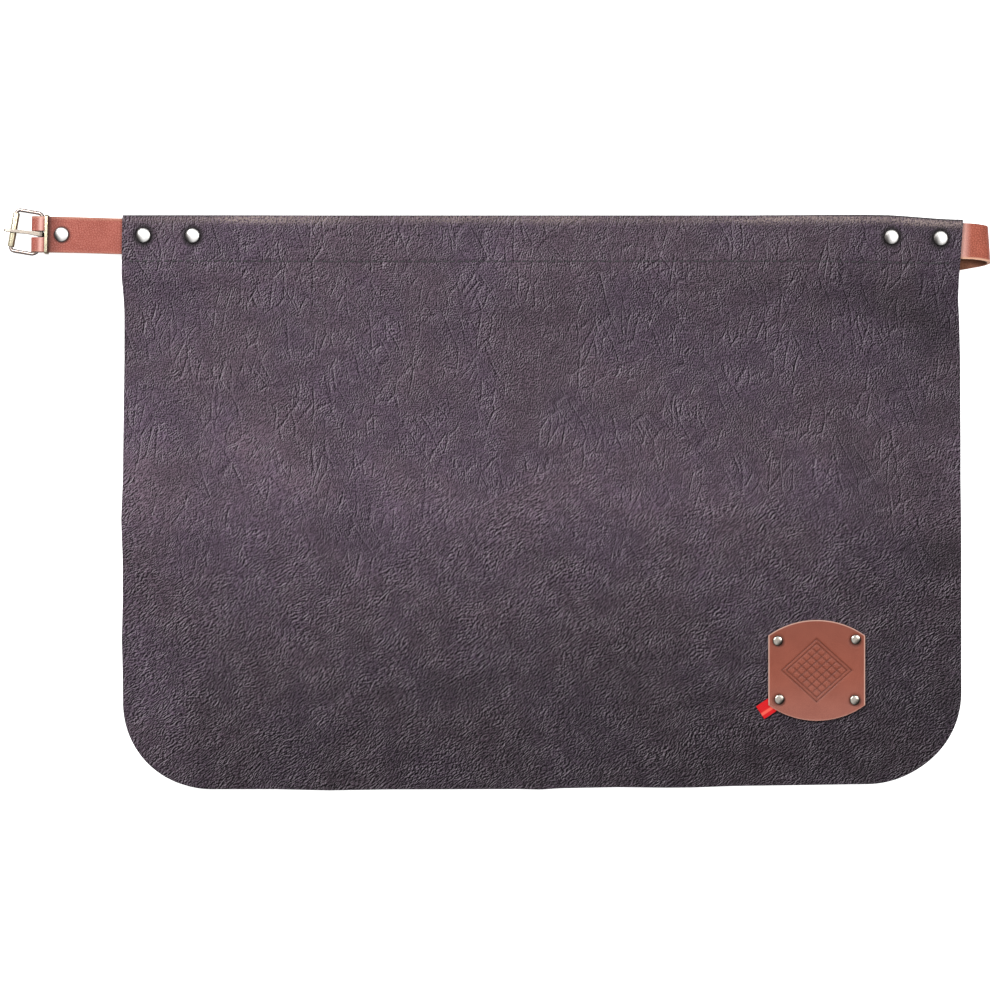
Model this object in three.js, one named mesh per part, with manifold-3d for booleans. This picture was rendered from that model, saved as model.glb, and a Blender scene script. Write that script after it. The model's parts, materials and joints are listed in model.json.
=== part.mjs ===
// A leather waist apron that lies face up on a flat surface. One sheet has its top turned under as a hem.
// A short strap with a roller buckle and a long strap are riveted into the hem's ends, and a patch is
// riveted near the lower right. Millimetres, +Z up. X runs along the hem and Y from the free edge to the
// hem. The origin lies on the surface, under the middle of the whole apron.
import * as THREE from "three";
import { mergeVertices } from "three/addons/utils/BufferGeometryUtils.js";
import Module from "manifold-3d";

const wasm = await Module();
wasm.setup();

const { degToRad, lerp, smoothstep } = THREE.MathUtils;

// Clearances
const gap = 0.3; // between pieces that touch
const rivetGap = 0.2; // between a rivet's caps and the leather
const bore = 0.3; // round a post or a bar

// Sheet
const leather = 1.6; // wall
const sheetLeft = -261.6;
const sheetRight = 324;
const hemTop = 198.43; // the fold's outermost line
const rightEndDroop = 3.4; // the fold's right end lies this much lower
const droopLength = 60;
const bottomAtLeft = hemTop - 402.1;
const bottomAtRight = hemTop - 396.9;
const leftCornerRadius = 60;
const rightCornerRadius = 63;
const hemDepth = 38; // from the fold to the raw edge behind
const hemShelf = 3; // the face keeps its height this far past the raw edge
const hemSlope = 18; // and is down again this far past it
const foldSteps = 5;
const crestY = hemTop - 217; // an old fold across the sheet
const crestHeight = 3;

// Straps
const strapThick = 2.2;
const strapHalfWidth = 12.5;
const strapTuck = 62; // length held inside the hem
const pocketSlack = 3; // the hem stays open this far past a strap's end
const pocketEase = 45; // and is closed this far past it

// Rivets
const postRadius = 1.5;
const backRadius = 4;
const backThick = 0.9;
const backInset = 0.4; // a small cap's back is this much narrower than the cap
const rivetSides = 12;
const hemCap = { radius: 5.2, rise: 2.1, skirt: 0.5 };
const patchCap = { radius: 3.5, rise: 1.5, skirt: 0.4 };
const hemRivets = [
  { x: sheetLeft + 14.4, y: hemTop - 14.7 },
  { x: sheetLeft + 48.7, y: hemTop - 14.9 },
  { x: sheetRight - 49, y: hemTop - 16.1 },
  { x: sheetRight - 14.7, y: hemTop - 17 },
];

// Buckle, with its heel bar in the strap's fold and its roller on the surface
const barX = -319.2;
const barY = hemTop - 13.8;
const barZ = 5;
const wireRadius = 1.3;
const barSpacing = 19.8; // heel bar to roller bar
const railSpacing = 29;
const bendRadius = 3;
const rollerRadius = 2.4;
const rollerLength = 24;
const frameTurn = degToRad(-10);
const rollerLift = 0.05; // room under the roller
const frameTilt = -Math.asin((barZ - rollerRadius - rollerLift) / barSpacing);
const prongWidth = 2.2;
const prongThick = 2;
const eyeRadius = wireRadius + bore; // inside of the prong's eye
const eyeOuter = 2.9;
const prongReach = 25.4;
const wireSides = 10;
const rollerSides = 16;

// Buckle strap, measured from the heel bar along the strap
const strapTurn = degToRad(-1.3);
const foldHalfGap = wireRadius + bore; // half the room in the fold
const foldEnd = 2.2; // the fold's round end is centred this far past the bar
const pinchFrom = 2.4;
const pinchTo = 10.9;
const strapRivetAt = 14.9;
const returnEnd = 22; // end of the turned-back layer
const hemExit = sheetLeft - barX;
const riseTo = hemExit - 2; // from the hem the strap is level up to here
const foldHalfWidth = 12.1;
const slotHalfWidth = 2.3;
const slotEnd = eyeOuter + 0.4; // clear of the prong's eye

// Keeper
const keeperFrom = 3.2;
const keeperBand = 2.2; // width of the band along the strap
const keeperThick = 1;
const keeperRoom = 0.2;

// Long strap
const longExitY = hemTop - 18.5; // middle of the strap where it leaves the hem
const longSlope = degToRad(-2.5); // its direction in the hem
const returnSlope = degToRad(10); // its direction under the sheet
const loopReach = 19.4; // how far the loop stands out from the sheet
const loopRadius = 4.3;
const loopRiseStart = 2;
const longUnder = 545; // length that runs back under the sheet
const loopSettle = 6; // past the loop the strap is flat after this length
const tipLength = 16;
const tipHalfWidth = 4;
const holeRadius = 2;
const holeCount = 7;
const holeSpacing = 25;
const firstHole = 60; // from the tip

// Patch and ribbon tab
const patchX = 223.5;
const patchY = hemTop - 318.7;
const patchHalfWidth = 33.8;
const patchSide = 24.3; // half the height of the straight sides
const patchArch = 10.9; // rise of the arched top and bottom
const patchThick = 2.4;
const patchRivets = [
  { x: -27.3, y: 20.7 },
  { x: 27.2, y: 21.7 },
  { x: -26.2, y: -20.2 },
  { x: 26.5, y: -20.7 },
];
const tagThick = 1.1;
const tagWidth = 10.2;
const tagLength = 12.6;
const tagX = patchX - 37.4; // middle of the tab's outer edge
const tagY = patchY - 30.2;
const tagTurn = degToRad(213.5); // the way the tab points

const finishes = {
  sheet: { color: 0x4b424a, roughness: 0.6, metalness: 0 },
  strap: { color: 0x9c4a3e, roughness: 0.5, metalness: 0 },
  patch: { color: 0x86493a, roughness: 0.55, metalness: 0 },
  rivet: { color: 0xb9b2a2, roughness: 0.35, metalness: 1 },
  wire: { color: 0xb9b2a2, roughness: 0.3, metalness: 1 },
  brass: { color: 0xb5a27a, roughness: 0.25, metalness: 1 },
  ribbon: { color: 0xd8202a, roughness: 0.45, metalness: 0 },
};

// Solids

// A closed solid through rings of points. In an open loft, point k of a ring faces point count - 1 - k
// across the wall.
function loftSolid(rings, closed) {
  const count = rings[0].length;
  const positions = rings.flat().flatMap((point) => point.toArray());
  const index = [];
  const quad = (a, b, c, d) => index.push(a, b, c, a, c, d);
  const lastStep = closed ? rings.length : rings.length - 1;
  for (let i = 0; i < lastStep; i++) {
    const here = i * count;
    const next = ((i + 1) % rings.length) * count;
    for (let k = 0; k < count; k++) {
      const after = (k + 1) % count;
      quad(here + k, here + after, next + after, next + k);
    }
  }
  if (!closed) {
    const last = (rings.length - 1) * count;
    for (let k = 0; k < count / 2 - 1; k++) {
      quad(count - 1 - k, count - 2 - k, k + 1, k);
      quad(last + k, last + k + 1, last + count - 2 - k, last + count - 1 - k);
    }
  }
  const geometry = new THREE.BufferGeometry();
  geometry.setAttribute("position", new THREE.Float32BufferAttribute(positions, 3));
  geometry.setIndex(index);
  return geometry;
}

function solidOf(geometry) {
  const bare = geometry.clone();
  bare.deleteAttribute("normal");
  bare.deleteAttribute("uv");
  const merged = mergeVertices(bare);
  const vertProperties = merged.attributes.position.array;
  const triVerts = new Uint32Array(merged.index.array);
  return new wasm.Manifold(new wasm.Mesh({ numProp: 3, vertProperties, triVerts }));
}

function cutAway(geometry, cutters) {
  const rest = cutters.reduce((solid, cutter) => solid.subtract(solidOf(cutter)), solidOf(geometry));
  const mesh = rest.getMesh();
  const result = new THREE.BufferGeometry();
  result.setAttribute("position", new THREE.BufferAttribute(mesh.vertProperties, 3));
  result.setIndex(new THREE.BufferAttribute(mesh.triVerts, 1));
  return result;
}

// A round cutter that goes down from well above the part to a given height
function holeCutter(radius, x, y, downTo = -1) {
  const reach = 40;
  const sides = 10;
  const pin = new THREE.CylinderGeometry(radius, radius, reach, sides).rotateX(Math.PI / 2);
  return pin.translate(x, y, downTo + reach / 2);
}

function roundedRectangle(left, right, bottom, top, radius) {
  const outline = new THREE.Shape();
  outline.absarc(right - radius, top - radius, radius, 0, Math.PI / 2);
  outline.absarc(left + radius, top - radius, radius, Math.PI / 2, Math.PI);
  outline.absarc(left + radius, bottom + radius, radius, Math.PI, 1.5 * Math.PI);
  outline.absarc(right - radius, bottom + radius, radius, 1.5 * Math.PI, 2 * Math.PI);
  return outline.closePath();
}

function addPiece(parent, name, geometry, finish) {
  geometry.computeVertexNormals();
  const mesh = new THREE.Mesh(geometry, new THREE.MeshStandardMaterial(finish));
  mesh.name = name;
  parent.add(mesh);
  return mesh;
}

// A strap bent over a straight fold line. The profile gives the distance along the fold's normal and the
// height. A skew turns the strap against that normal, so that it comes back at twice the skew.
function strapBend(profile, normalAngle, skew, startX, startY) {
  const across = new THREE.Vector2(Math.cos(normalAngle), Math.sin(normalAngle));
  const along = new THREE.Vector2(-across.y, across.x);
  const total = profile.getLength();
  return (s, w, lift) => {
    const turned = s * Math.cos(skew) + w * Math.sin(skew);
    const share = THREE.MathUtils.clamp(turned / total, 0, 1);
    const point = profile.getPoint(share);
    const tangent = profile.getTangent(share);
    const reach = point.x - tangent.y * lift + Math.min(turned, 0);
    const slip = w * Math.cos(skew) - s * Math.sin(skew);
    return new THREE.Vector3(
      startX + across.x * reach + along.x * slip,
      startY + across.y * reach + along.y * slip,
      point.y + tangent.x * lift,
    );
  };
}

function strapSolid(bend, stations, halfWidthAt) {
  const rings = stations.map((s) => {
    const half = halfWidthAt(s);
    const widths = [-half, 0, half];
    const under = widths.map((w) => bend(s, w, -strapThick / 2));
    const over = widths.map((w) => bend(s, w, strapThick / 2));
    return [...under, ...over.reverse()];
  });
  return loftSolid(rings, false);
}

// Places along a strap, from rows that say how far each stretch goes and in how many steps
function stationsFrom(rows) {
  const places = [0];
  for (const { to, steps } of rows) {
    const from = places.at(-1);
    for (let i = 1; i <= steps; i++) places.push(lerp(from, to, i / steps));
  }
  return places;
}

// How the sheet lies

const rivetBackLift = backThick + rivetGap;
const rightEndLift = strapThick + gap + rivetBackLift;
const pocketRoom = strapThick + 2 * gap;

// Long strap: out of the hem, up and over, and back along the surface
const longHeight = rightEndLift + leather + gap + strapThick / 2;
const longSkew = (returnSlope - longSlope) / 2;
const longNormal = (returnSlope + longSlope) / 2;
const loopCentre = strapTuck + loopReach - loopRadius - strapThick / 2;
const loopTop = strapThick / 2 + 2 * loopRadius;
const riseFrom = strapTuck + loopRiseStart;
const riseMiddle = (riseFrom + loopCentre) / 2;
const longProfile = new THREE.CurvePath();
longProfile.add(
  new THREE.LineCurve(new THREE.Vector2(0, longHeight), new THREE.Vector2(riseFrom, longHeight)),
);
longProfile.add(
  new THREE.CubicBezierCurve(
    new THREE.Vector2(riseFrom, longHeight),
    new THREE.Vector2(riseMiddle, longHeight),
    new THREE.Vector2(riseMiddle, loopTop),
    new THREE.Vector2(loopCentre, loopTop),
  ),
);
longProfile.add(
  new THREE.EllipseCurve(
    loopCentre,
    strapThick / 2 + loopRadius,
    loopRadius,
    loopRadius,
    Math.PI / 2,
    -Math.PI / 2,
    true,
  ),
);
longProfile.add(
  new THREE.LineCurve(
    new THREE.Vector2(loopCentre, strapThick / 2),
    new THREE.Vector2(loopCentre - longUnder - strapHalfWidth, strapThick / 2),
  ),
);
const longStart = new THREE.Vector2(sheetRight, longExitY).sub(
  new THREE.Vector2(strapTuck * Math.cos(longSlope), strapTuck * Math.sin(longSlope)),
);
const longBend = strapBend(longProfile, longNormal, longSkew, longStart.x, longStart.y);
const loopEnd = riseFrom + longProfile.curves[1].getLength() + longProfile.curves[2].getLength();
const longLength = loopEnd + longUnder;
const underStart = longBend(loopEnd, 0, 0);
const underEnd = longBend(longLength, 0, 0);

// What holds the sheet off the surface: a row for each thing under it, from one end to the other. The sheet
// lies level on the thing's half width and comes down past it over the ramp.
const endsY = hemTop - 16; // middle of the strap ends in the hem
const patchBed = 12; // half the length of the line under the patch
const onFloor = (x, y) => new THREE.Vector3(x, y, 0);
const lifts = [
  {
    line: new THREE.Line3(onFloor(underStart.x, underStart.y), onFloor(underEnd.x, underEnd.y)),
    half: 13.5,
    ramp: 42,
    height: strapThick + gap,
  },
  {
    line: new THREE.Line3(onFloor(sheetRight - strapTuck, endsY), onFloor(sheetRight, endsY)),
    half: 23,
    ramp: 70,
    height: rightEndLift,
  },
  {
    line: new THREE.Line3(onFloor(sheetLeft, endsY), onFloor(sheetLeft + strapTuck, endsY)),
    half: 23,
    ramp: 60,
    height: rivetBackLift,
  },
  {
    line: new THREE.Line3(onFloor(patchX - patchBed, patchY), onFloor(patchX + patchBed, patchY)),
    half: 36,
    ramp: 45,
    height: rivetBackLift,
  },
  {
    line: new THREE.Line3(onFloor(sheetLeft, crestY), onFloor(sheetRight, crestY)),
    half: 0,
    ramp: 95,
    height: crestHeight,
  },
];
const liftBlend = 8; // the higher this is, the closer the blend comes to the highest lift

function sheetLift(x, y) {
  const place = onFloor(x, y);
  const nearest = new THREE.Vector3();
  let sum = 0;
  for (const { line, half, ramp, height } of lifts) {
    line.closestPointToPoint(place, true, nearest);
    const away = nearest.distanceTo(place) - half;
    sum += (height * (1 - smoothstep(away, 0, ramp))) ** liftBlend;
  }
  return sum ** (1 / liftBlend);
}

// Room between the hem's two layers
function hemRoom(x) {
  const fromEnd = Math.min(x - sheetLeft, sheetRight - x);
  return lerp(pocketRoom, gap, smoothstep(fromEnd, strapTuck + pocketSlack, strapTuck + pocketEase));
}

function foldY(x) {
  return hemTop - rightEndDroop * smoothstep(x, sheetRight - droopLength, sheetRight);
}

function bottomY(x) {
  const line = lerp(bottomAtLeft, bottomAtRight, (x - sheetLeft) / (sheetRight - sheetLeft));
  const arc = (radius, fromEdge) => {
    const fromCentre = Math.max(0, radius - fromEdge);
    return radius - Math.sqrt(Math.max(0, radius ** 2 - fromCentre ** 2));
  };
  return line + arc(leftCornerRadius, x - sheetLeft) + arc(rightCornerRadius, sheetRight - x);
}

// Underside of the front layer
function frontLift(x, y) {
  const rawEdge = foldY(x) - hemDepth;
  const overHem = smoothstep(y, rawEdge - hemSlope, rawEdge - hemShelf);
  return sheetLift(x, y) + overHem * (leather + hemRoom(x));
}

// Rows of the sheet, as distances below the fold's middle
const hemRows = [0, 9, 18, 28, hemDepth];
const slopeRows = [42, 46, 50, 54, 60];
const strapRows = [72, 84, 96, 108, 120, 132, 146, 162];
const lowerRows = 10;

// Middle line of the leather at one x: up the hem's back, round the fold and down the front
function sheetSection(x) {
  const radius = (leather + hemRoom(x)) / 2;
  const middleY = foldY(x) - radius - leather / 2;
  const line = [];
  for (const row of hemRows.toReversed()) {
    line.push(new THREE.Vector2(middleY - row, sheetLift(x, middleY - row) + leather / 2));
  }
  const start = line.at(-1);
  const lastUpper = middleY - strapRows.at(-1);
  const upper = [...hemRows, ...slopeRows, ...strapRows].map((row) => middleY - row);
  const lower = Array.from({ length: lowerRows }, (_, i) =>
    lerp(lastUpper, bottomY(x), (i + 1) / lowerRows),
  );
  const front = [...upper, ...lower].map((y) => new THREE.Vector2(y, frontLift(x, y) + leather / 2));
  const centreZ = (start.y + front[0].y) / 2;
  const turnRadius = (front[0].y - start.y) / 2;
  for (let i = 1; i < foldSteps; i++) {
    const angle = -Math.PI / 2 + (Math.PI * i) / foldSteps;
    const y = middleY + turnRadius * Math.cos(angle);
    line.push(new THREE.Vector2(y, centreZ + turnRadius * Math.sin(angle)));
  }
  return [...line, ...front];
}

function sheetRing(x) {
  const line = sheetSection(x);
  const side = (distance) =>
    line.map((point, i) => {
      const before = line[Math.max(i - 1, 0)];
      const after = line[Math.min(i + 1, line.length - 1)];
      const tangent = after.clone().sub(before).normalize();
      return new THREE.Vector3(x, point.x + tangent.y * distance, point.y - tangent.x * distance);
    });
  return [...side(leather / 2), ...side(-leather / 2).reverse()];
}

function sheetColumns() {
  const cornerSteps = 7;
  const middleSteps = 24;
  const columns = [];
  for (let i = 0; i < cornerSteps; i++) {
    columns.push(sheetLeft + leftCornerRadius * (1 - Math.cos((Math.PI * i) / (2 * cornerSteps))));
  }
  for (let i = 0; i < middleSteps; i++) {
    columns.push(lerp(sheetLeft + leftCornerRadius, sheetRight - rightCornerRadius, i / middleSteps));
  }
  for (let i = 0; i <= cornerSteps; i++) {
    columns.push(sheetRight - rightCornerRadius * (1 - Math.sin((Math.PI * i) / (2 * cornerSteps))));
  }
  return columns;
}

// Rivet: dome, skirt, post and flat back, turned round its axis
function rivetSolid(cap, x, y, capZ, backZ) {
  const domeSteps = 4;
  const backRim = Math.min(backRadius, cap.radius - backInset);
  const profile = [
    new THREE.Vector2(0, backZ - backThick),
    new THREE.Vector2(backRim, backZ - backThick),
    new THREE.Vector2(backRim, backZ),
    new THREE.Vector2(postRadius, backZ),
    new THREE.Vector2(postRadius, capZ),
    new THREE.Vector2(cap.radius, capZ),
  ];
  for (let i = 0; i < domeSteps; i++) {
    const angle = (Math.PI * i) / (2 * domeSteps);
    const rise = cap.skirt + (cap.rise - cap.skirt) * Math.sin(angle);
    profile.push(new THREE.Vector2(cap.radius * Math.cos(angle), capZ + rise));
  }
  profile.push(new THREE.Vector2(0, capZ + cap.rise));
  return new THREE.LatheGeometry(profile, rivetSides).rotateX(Math.PI / 2).translate(x, y, 0);
}

// Assembly

const apron = new THREE.Group();

const patchPlaces = patchRivets.map(({ x, y }) => ({ x: patchX + x, y: patchY + y }));
const postHoles = (places, downTo) =>
  places.map(({ x, y }) => holeCutter(postRadius + bore, x, y, downTo));

function makeSheet() {
  const whole = loftSolid(sheetColumns().map(sheetRing), false);
  const solid = cutAway(whole, postHoles([...hemRivets, ...patchPlaces]));
  addPiece(apron, "apron_panel", solid, finishes.sheet);
}

function makeHemRivets() {
  hemRivets.forEach(({ x, y }, i) => {
    const capZ = frontLift(x, y) + leather + rivetGap;
    const backZ = sheetLift(x, y) - rivetGap;
    addPiece(apron, `hem_rivet_${i + 1}`, rivetSolid(hemCap, x, y, capZ, backZ), finishes.rivet);
  });
}

function makeLongStrap() {
  const stations = stationsFrom([
    { to: riseFrom, steps: 2 },
    { to: loopEnd - Math.PI * loopRadius, steps: 5 },
    { to: loopEnd, steps: 10 },
    { to: loopEnd + loopSettle, steps: 2 },
    { to: longLength - tipLength, steps: 3 },
    { to: longLength, steps: 5 },
  ]);
  const halfWidth = (s) => {
    const intoTip = Math.max(0, (s - longLength + tipLength) / tipLength);
    return lerp(tipHalfWidth, strapHalfWidth, Math.sqrt(1 - intoTip ** 2));
  };
  const holes = Array.from({ length: holeCount }, (_, i) => {
    const { x, y } = longBend(longLength - firstHole - i * holeSpacing, 0, 0);
    return holeCutter(holeRadius, x, y);
  });
  const strap = strapSolid(longBend, stations, halfWidth);
  const solid = cutAway(strap, [...holes, ...postHoles(hemRivets.slice(2), rightEndLift)]);
  addPiece(apron, "long_strap", solid, finishes.strap);
}

// Buckle strap: out of the hem, over the heel bar, round the fold and back under itself
const layerOffset = gap / 2 + strapThick / 2;
const foldOffset = foldHalfGap + strapThick / 2;
const buckleHemZ = rivetBackLift + leather + gap + strapThick / 2;

// From the heel bar towards the sheet
const strapAway = new THREE.Vector2(Math.cos(strapTurn), Math.sin(strapTurn));

function onBuckleStrap(u) {
  return { x: barX + strapAway.x * u, y: barY + strapAway.y * u };
}

function buckleStrapProfile(tuckedEnd) {
  const at = (u, z) => new THREE.Vector2(tuckedEnd - u, z);
  const ease = (u1, z1, u2, z2) =>
    new THREE.CubicBezierCurve(at(u1, z1), at((u1 + u2) / 2, z1), at((u1 + u2) / 2, z2), at(u2, z2));
  const layers = new THREE.CurvePath();
  layers.add(new THREE.LineCurve(at(tuckedEnd, buckleHemZ), at(riseTo, buckleHemZ)));
  layers.add(ease(riseTo, buckleHemZ, returnEnd, barZ + layerOffset));
  layers.add(new THREE.LineCurve(at(returnEnd, barZ + layerOffset), at(pinchTo, barZ + layerOffset)));
  layers.add(ease(pinchTo, barZ + layerOffset, pinchFrom, barZ + foldOffset));
  layers.add(new THREE.LineCurve(at(pinchFrom, barZ + foldOffset), at(-foldEnd, barZ + foldOffset)));
  layers.add(
    new THREE.EllipseCurve(
      tuckedEnd + foldEnd,
      barZ,
      foldOffset,
      foldOffset,
      Math.PI / 2,
      -Math.PI / 2,
      true,
    ),
  );
  layers.add(new THREE.LineCurve(at(-foldEnd, barZ - foldOffset), at(pinchFrom, barZ - foldOffset)));
  layers.add(ease(pinchFrom, barZ - foldOffset, pinchTo, barZ - layerOffset));
  layers.add(new THREE.LineCurve(at(pinchTo, barZ - layerOffset), at(returnEnd, barZ - layerOffset)));
  return layers;
}

function makeBuckleStrap() {
  const tuckedEnd = hemExit + strapTuck;
  const profile = buckleStrapProfile(tuckedEnd);
  const start = onBuckleStrap(tuckedEnd);
  const bend = strapBend(profile, strapTurn + Math.PI, 0, start.x, start.y);
  const ends = profile.getCurveLengths();
  const steps = [2, 6, 1, 5, 1, 10, 1, 5, 1]; // in each stretch of the profile
  const stations = stationsFrom(steps.map((count, i) => ({ to: ends[i], steps: count })));
  const narrowing = 6;
  const halfWidth = (s) =>
    lerp(strapHalfWidth, foldHalfWidth, smoothstep(s, ends[3] - narrowing, ends[3]));
  const strap = strapSolid(bend, stations, halfWidth);
  const slotReach = 12;
  const slotDepth = 4 * barZ;
  const roundEnd = onBuckleStrap(slotEnd - slotHalfWidth);
  const boxMiddle = onBuckleStrap(slotEnd - slotHalfWidth - slotReach / 2);
  const slotBox = new THREE.BoxGeometry(slotReach, 2 * slotHalfWidth, slotDepth)
    .rotateZ(strapTurn)
    .translate(boxMiddle.x, boxMiddle.y, 0);
  const slotRound = holeCutter(slotHalfWidth, roundEnd.x, roundEnd.y);
  const rivetHoles = postHoles([onBuckleStrap(strapRivetAt), ...hemRivets.slice(0, 2)]);
  const solid = cutAway(strap, [slotBox, slotRound, ...rivetHoles]);
  addPiece(apron, "buckle_strap", solid, finishes.strap);
}

function makeStrapRivet() {
  const { x, y } = onBuckleStrap(strapRivetAt);
  const stack = layerOffset + strapThick / 2 + rivetGap;
  addPiece(apron, "strap_rivet", rivetSolid(hemCap, x, y, barZ + stack, barZ - stack), finishes.rivet);
}

function makeKeeper() {
  const roomUp = foldOffset + strapThick / 2 + keeperRoom;
  const roomSide = strapHalfWidth + keeperRoom;
  const corner = 1;
  const outSide = roomSide + keeperThick;
  const outUp = roomUp + keeperThick;
  const band = roundedRectangle(-outSide, outSide, -outUp, outUp, corner + keeperThick);
  band.holes.push(roundedRectangle(-roomSide, roomSide, -roomUp, roomUp, corner));
  const flat = { depth: keeperBand, bevelEnabled: false, curveSegments: 3 };
  const solid = new THREE.ExtrudeGeometry(band, flat);
  solid.rotateX(Math.PI / 2).rotateZ(Math.PI / 2);
  const place = onBuckleStrap(keeperFrom);
  const keeper = addPiece(apron, "keeper_loop", solid, finishes.brass);
  keeper.position.set(place.x, place.y, barZ);
  keeper.rotation.z = strapTurn;
}

// Buckle, in a frame with the heel bar along Y and the roller bar towards -X
function makeBuckle() {
  const buckle = new THREE.Group();
  buckle.position.set(barX, barY, barZ);
  buckle.rotation.z = frameTurn;
  const tilted = new THREE.Group();
  tilted.rotation.y = frameTilt;
  buckle.add(tilted);
  apron.add(buckle);
  addPiece(tilted, "buckle_frame", frameSolid(), finishes.wire);
  addPiece(tilted, "buckle_roller", rollerSolid(), finishes.brass);
  addPiece(tilted, "buckle_prong", prongSolid(), finishes.wire);
}

function frameSolid() {
  const outline = roundedRectangle(-barSpacing, 0, -railSpacing / 2, railSpacing / 2, bendRadius);
  const bendSteps = 3;
  const line = outline.getPoints(bendSteps).slice(0, -1);
  const rings = line.map((point, i) => {
    const before = line.at(i - 1);
    const after = line[(i + 1) % line.length];
    const tangent = after.clone().sub(before).normalize();
    return Array.from({ length: wireSides }, (_, k) => {
      const angle = (2 * Math.PI * k) / wireSides;
      const out = wireRadius * Math.cos(angle);
      const up = wireRadius * Math.sin(angle);
      return new THREE.Vector3(point.x + tangent.y * out, point.y - tangent.x * out, up);
    });
  });
  return loftSolid(rings.map((ring) => ring.reverse()), true);
}

function rollerSolid() {
  const half = rollerLength / 2;
  const edge = 0.4;
  const inner = wireRadius + bore;
  const profile = [
    new THREE.Vector2(inner, -half),
    new THREE.Vector2(rollerRadius - edge, -half),
    new THREE.Vector2(rollerRadius, -half + edge),
    new THREE.Vector2(rollerRadius, half - edge),
    new THREE.Vector2(rollerRadius - edge, half),
    new THREE.Vector2(inner, half),
    new THREE.Vector2(inner, -half),
  ];
  return new THREE.LatheGeometry(profile, rollerSides).translate(-barSpacing, 0, 0);
}

function prongSolid() {
  const underRoller = rollerRadius + bore; // the prong passes over the roller
  const slope = (underRoller + prongThick - eyeOuter) / barSpacing;
  const tipMiddle = eyeOuter + slope * prongReach - prongThick / 2;
  const joinAngle = degToRad(157); // where the prong's underside meets its eye
  const outline = new THREE.Shape();
  outline.moveTo(0, eyeOuter);
  outline.absarc(-prongReach + prongThick / 2, tipMiddle, prongThick / 2, Math.PI / 2, 1.5 * Math.PI);
  outline.absarc(0, 0, eyeOuter, joinAngle, 2.5 * Math.PI);
  const eye = new THREE.Path();
  eye.absarc(0, 0, eyeRadius, 0, 2 * Math.PI);
  outline.holes.push(eye);
  const flat = { depth: prongWidth, bevelEnabled: false, curveSegments: 8 };
  const solid = new THREE.ExtrudeGeometry(outline, flat);
  return solid.rotateX(Math.PI / 2).translate(0, prongWidth / 2, 0);
}

// Patch, with a recess below where the ribbon tab is caught
function patchOutline() {
  const radius = (patchHalfWidth ** 2 + patchArch ** 2) / (2 * patchArch);
  const centre = patchSide + patchArch - radius;
  const halfAngle = Math.asin(patchHalfWidth / radius);
  const outline = new THREE.Shape();
  outline.absarc(0, centre, radius, Math.PI / 2 - halfAngle, Math.PI / 2 + halfAngle);
  outline.absarc(0, -centre, radius, 1.5 * Math.PI - halfAngle, 1.5 * Math.PI + halfAngle);
  return outline;
}

function makePatch() {
  const top = frontLift(patchX, patchY) + leather;
  const underside = top + gap;
  const edge = 0.4;
  const plate = new THREE.ExtrudeGeometry(patchOutline(), {
    depth: patchThick - 2 * edge,
    bevelThickness: edge,
    bevelSize: edge,
    bevelOffset: -edge,
    bevelSegments: 1,
    curveSegments: 6,
  }).translate(patchX, patchY, underside + edge);
  const tagZ = underside + tagThick / 2;
  const room = new THREE.BoxGeometry(tagLength + gap, tagWidth + 2 * gap, tagThick + 2 * gap)
    .translate(-(tagLength + gap) / 2, 0, 0)
    .rotateZ(tagTurn)
    .translate(tagX, tagY, tagZ);
  const solid = cutAway(plate, [room, ...postHoles(patchPlaces)]);
  addPiece(apron, "leather_patch", solid, finishes.patch);
  patchPlaces.forEach(({ x, y }, i) => {
    const capZ = underside + patchThick + rivetGap;
    const backZ = frontLift(x, y) - rivetGap;
    addPiece(apron, `patch_rivet_${i + 1}`, rivetSolid(patchCap, x, y, capZ, backZ), finishes.rivet);
  });
  const side = new THREE.Shape();
  side.moveTo(-tagLength, -tagThick / 2);
  side.absarc(-tagThick / 2, 0, tagThick / 2, -Math.PI / 2, Math.PI / 2);
  side.lineTo(-tagLength, tagThick / 2);
  const tag = new THREE.ExtrudeGeometry(side, { depth: tagWidth, bevelEnabled: false, curveSegments: 4 })
    .rotateX(Math.PI / 2)
    .translate(0, tagWidth / 2, 0);
  const ribbon = addPiece(apron, "red_tag", tag, finishes.ribbon);
  ribbon.position.set(tagX, tagY, tagZ);
  ribbon.rotation.z = tagTurn;
}

makeSheet();
makeBuckleStrap();
makeStrapRivet();
makeKeeper();
makeBuckle();
makeLongStrap();
makeHemRivets();
makePatch();

export default apron;
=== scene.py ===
import json
import math

import bmesh
import bpy
import numpy as np
from mathutils import Matrix, Vector, noise
from mathutils.bvhtree import BVHTree


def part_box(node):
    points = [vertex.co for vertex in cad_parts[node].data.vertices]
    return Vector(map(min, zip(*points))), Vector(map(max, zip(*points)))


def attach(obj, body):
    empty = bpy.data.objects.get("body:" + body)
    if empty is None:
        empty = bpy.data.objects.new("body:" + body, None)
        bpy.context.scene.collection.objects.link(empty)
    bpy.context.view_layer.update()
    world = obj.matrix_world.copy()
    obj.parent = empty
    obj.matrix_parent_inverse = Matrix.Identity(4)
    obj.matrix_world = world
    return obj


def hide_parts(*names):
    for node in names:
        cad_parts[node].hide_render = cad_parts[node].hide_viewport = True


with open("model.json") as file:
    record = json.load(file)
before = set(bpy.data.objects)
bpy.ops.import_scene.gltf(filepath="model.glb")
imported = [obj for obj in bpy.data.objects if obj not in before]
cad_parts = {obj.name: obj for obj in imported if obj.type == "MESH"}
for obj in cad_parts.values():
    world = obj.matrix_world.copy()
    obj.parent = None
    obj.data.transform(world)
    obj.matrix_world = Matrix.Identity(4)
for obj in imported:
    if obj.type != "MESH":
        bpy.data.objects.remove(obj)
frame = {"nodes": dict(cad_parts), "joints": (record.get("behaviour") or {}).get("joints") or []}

mm = 0.001
scene = bpy.context.scene
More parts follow.
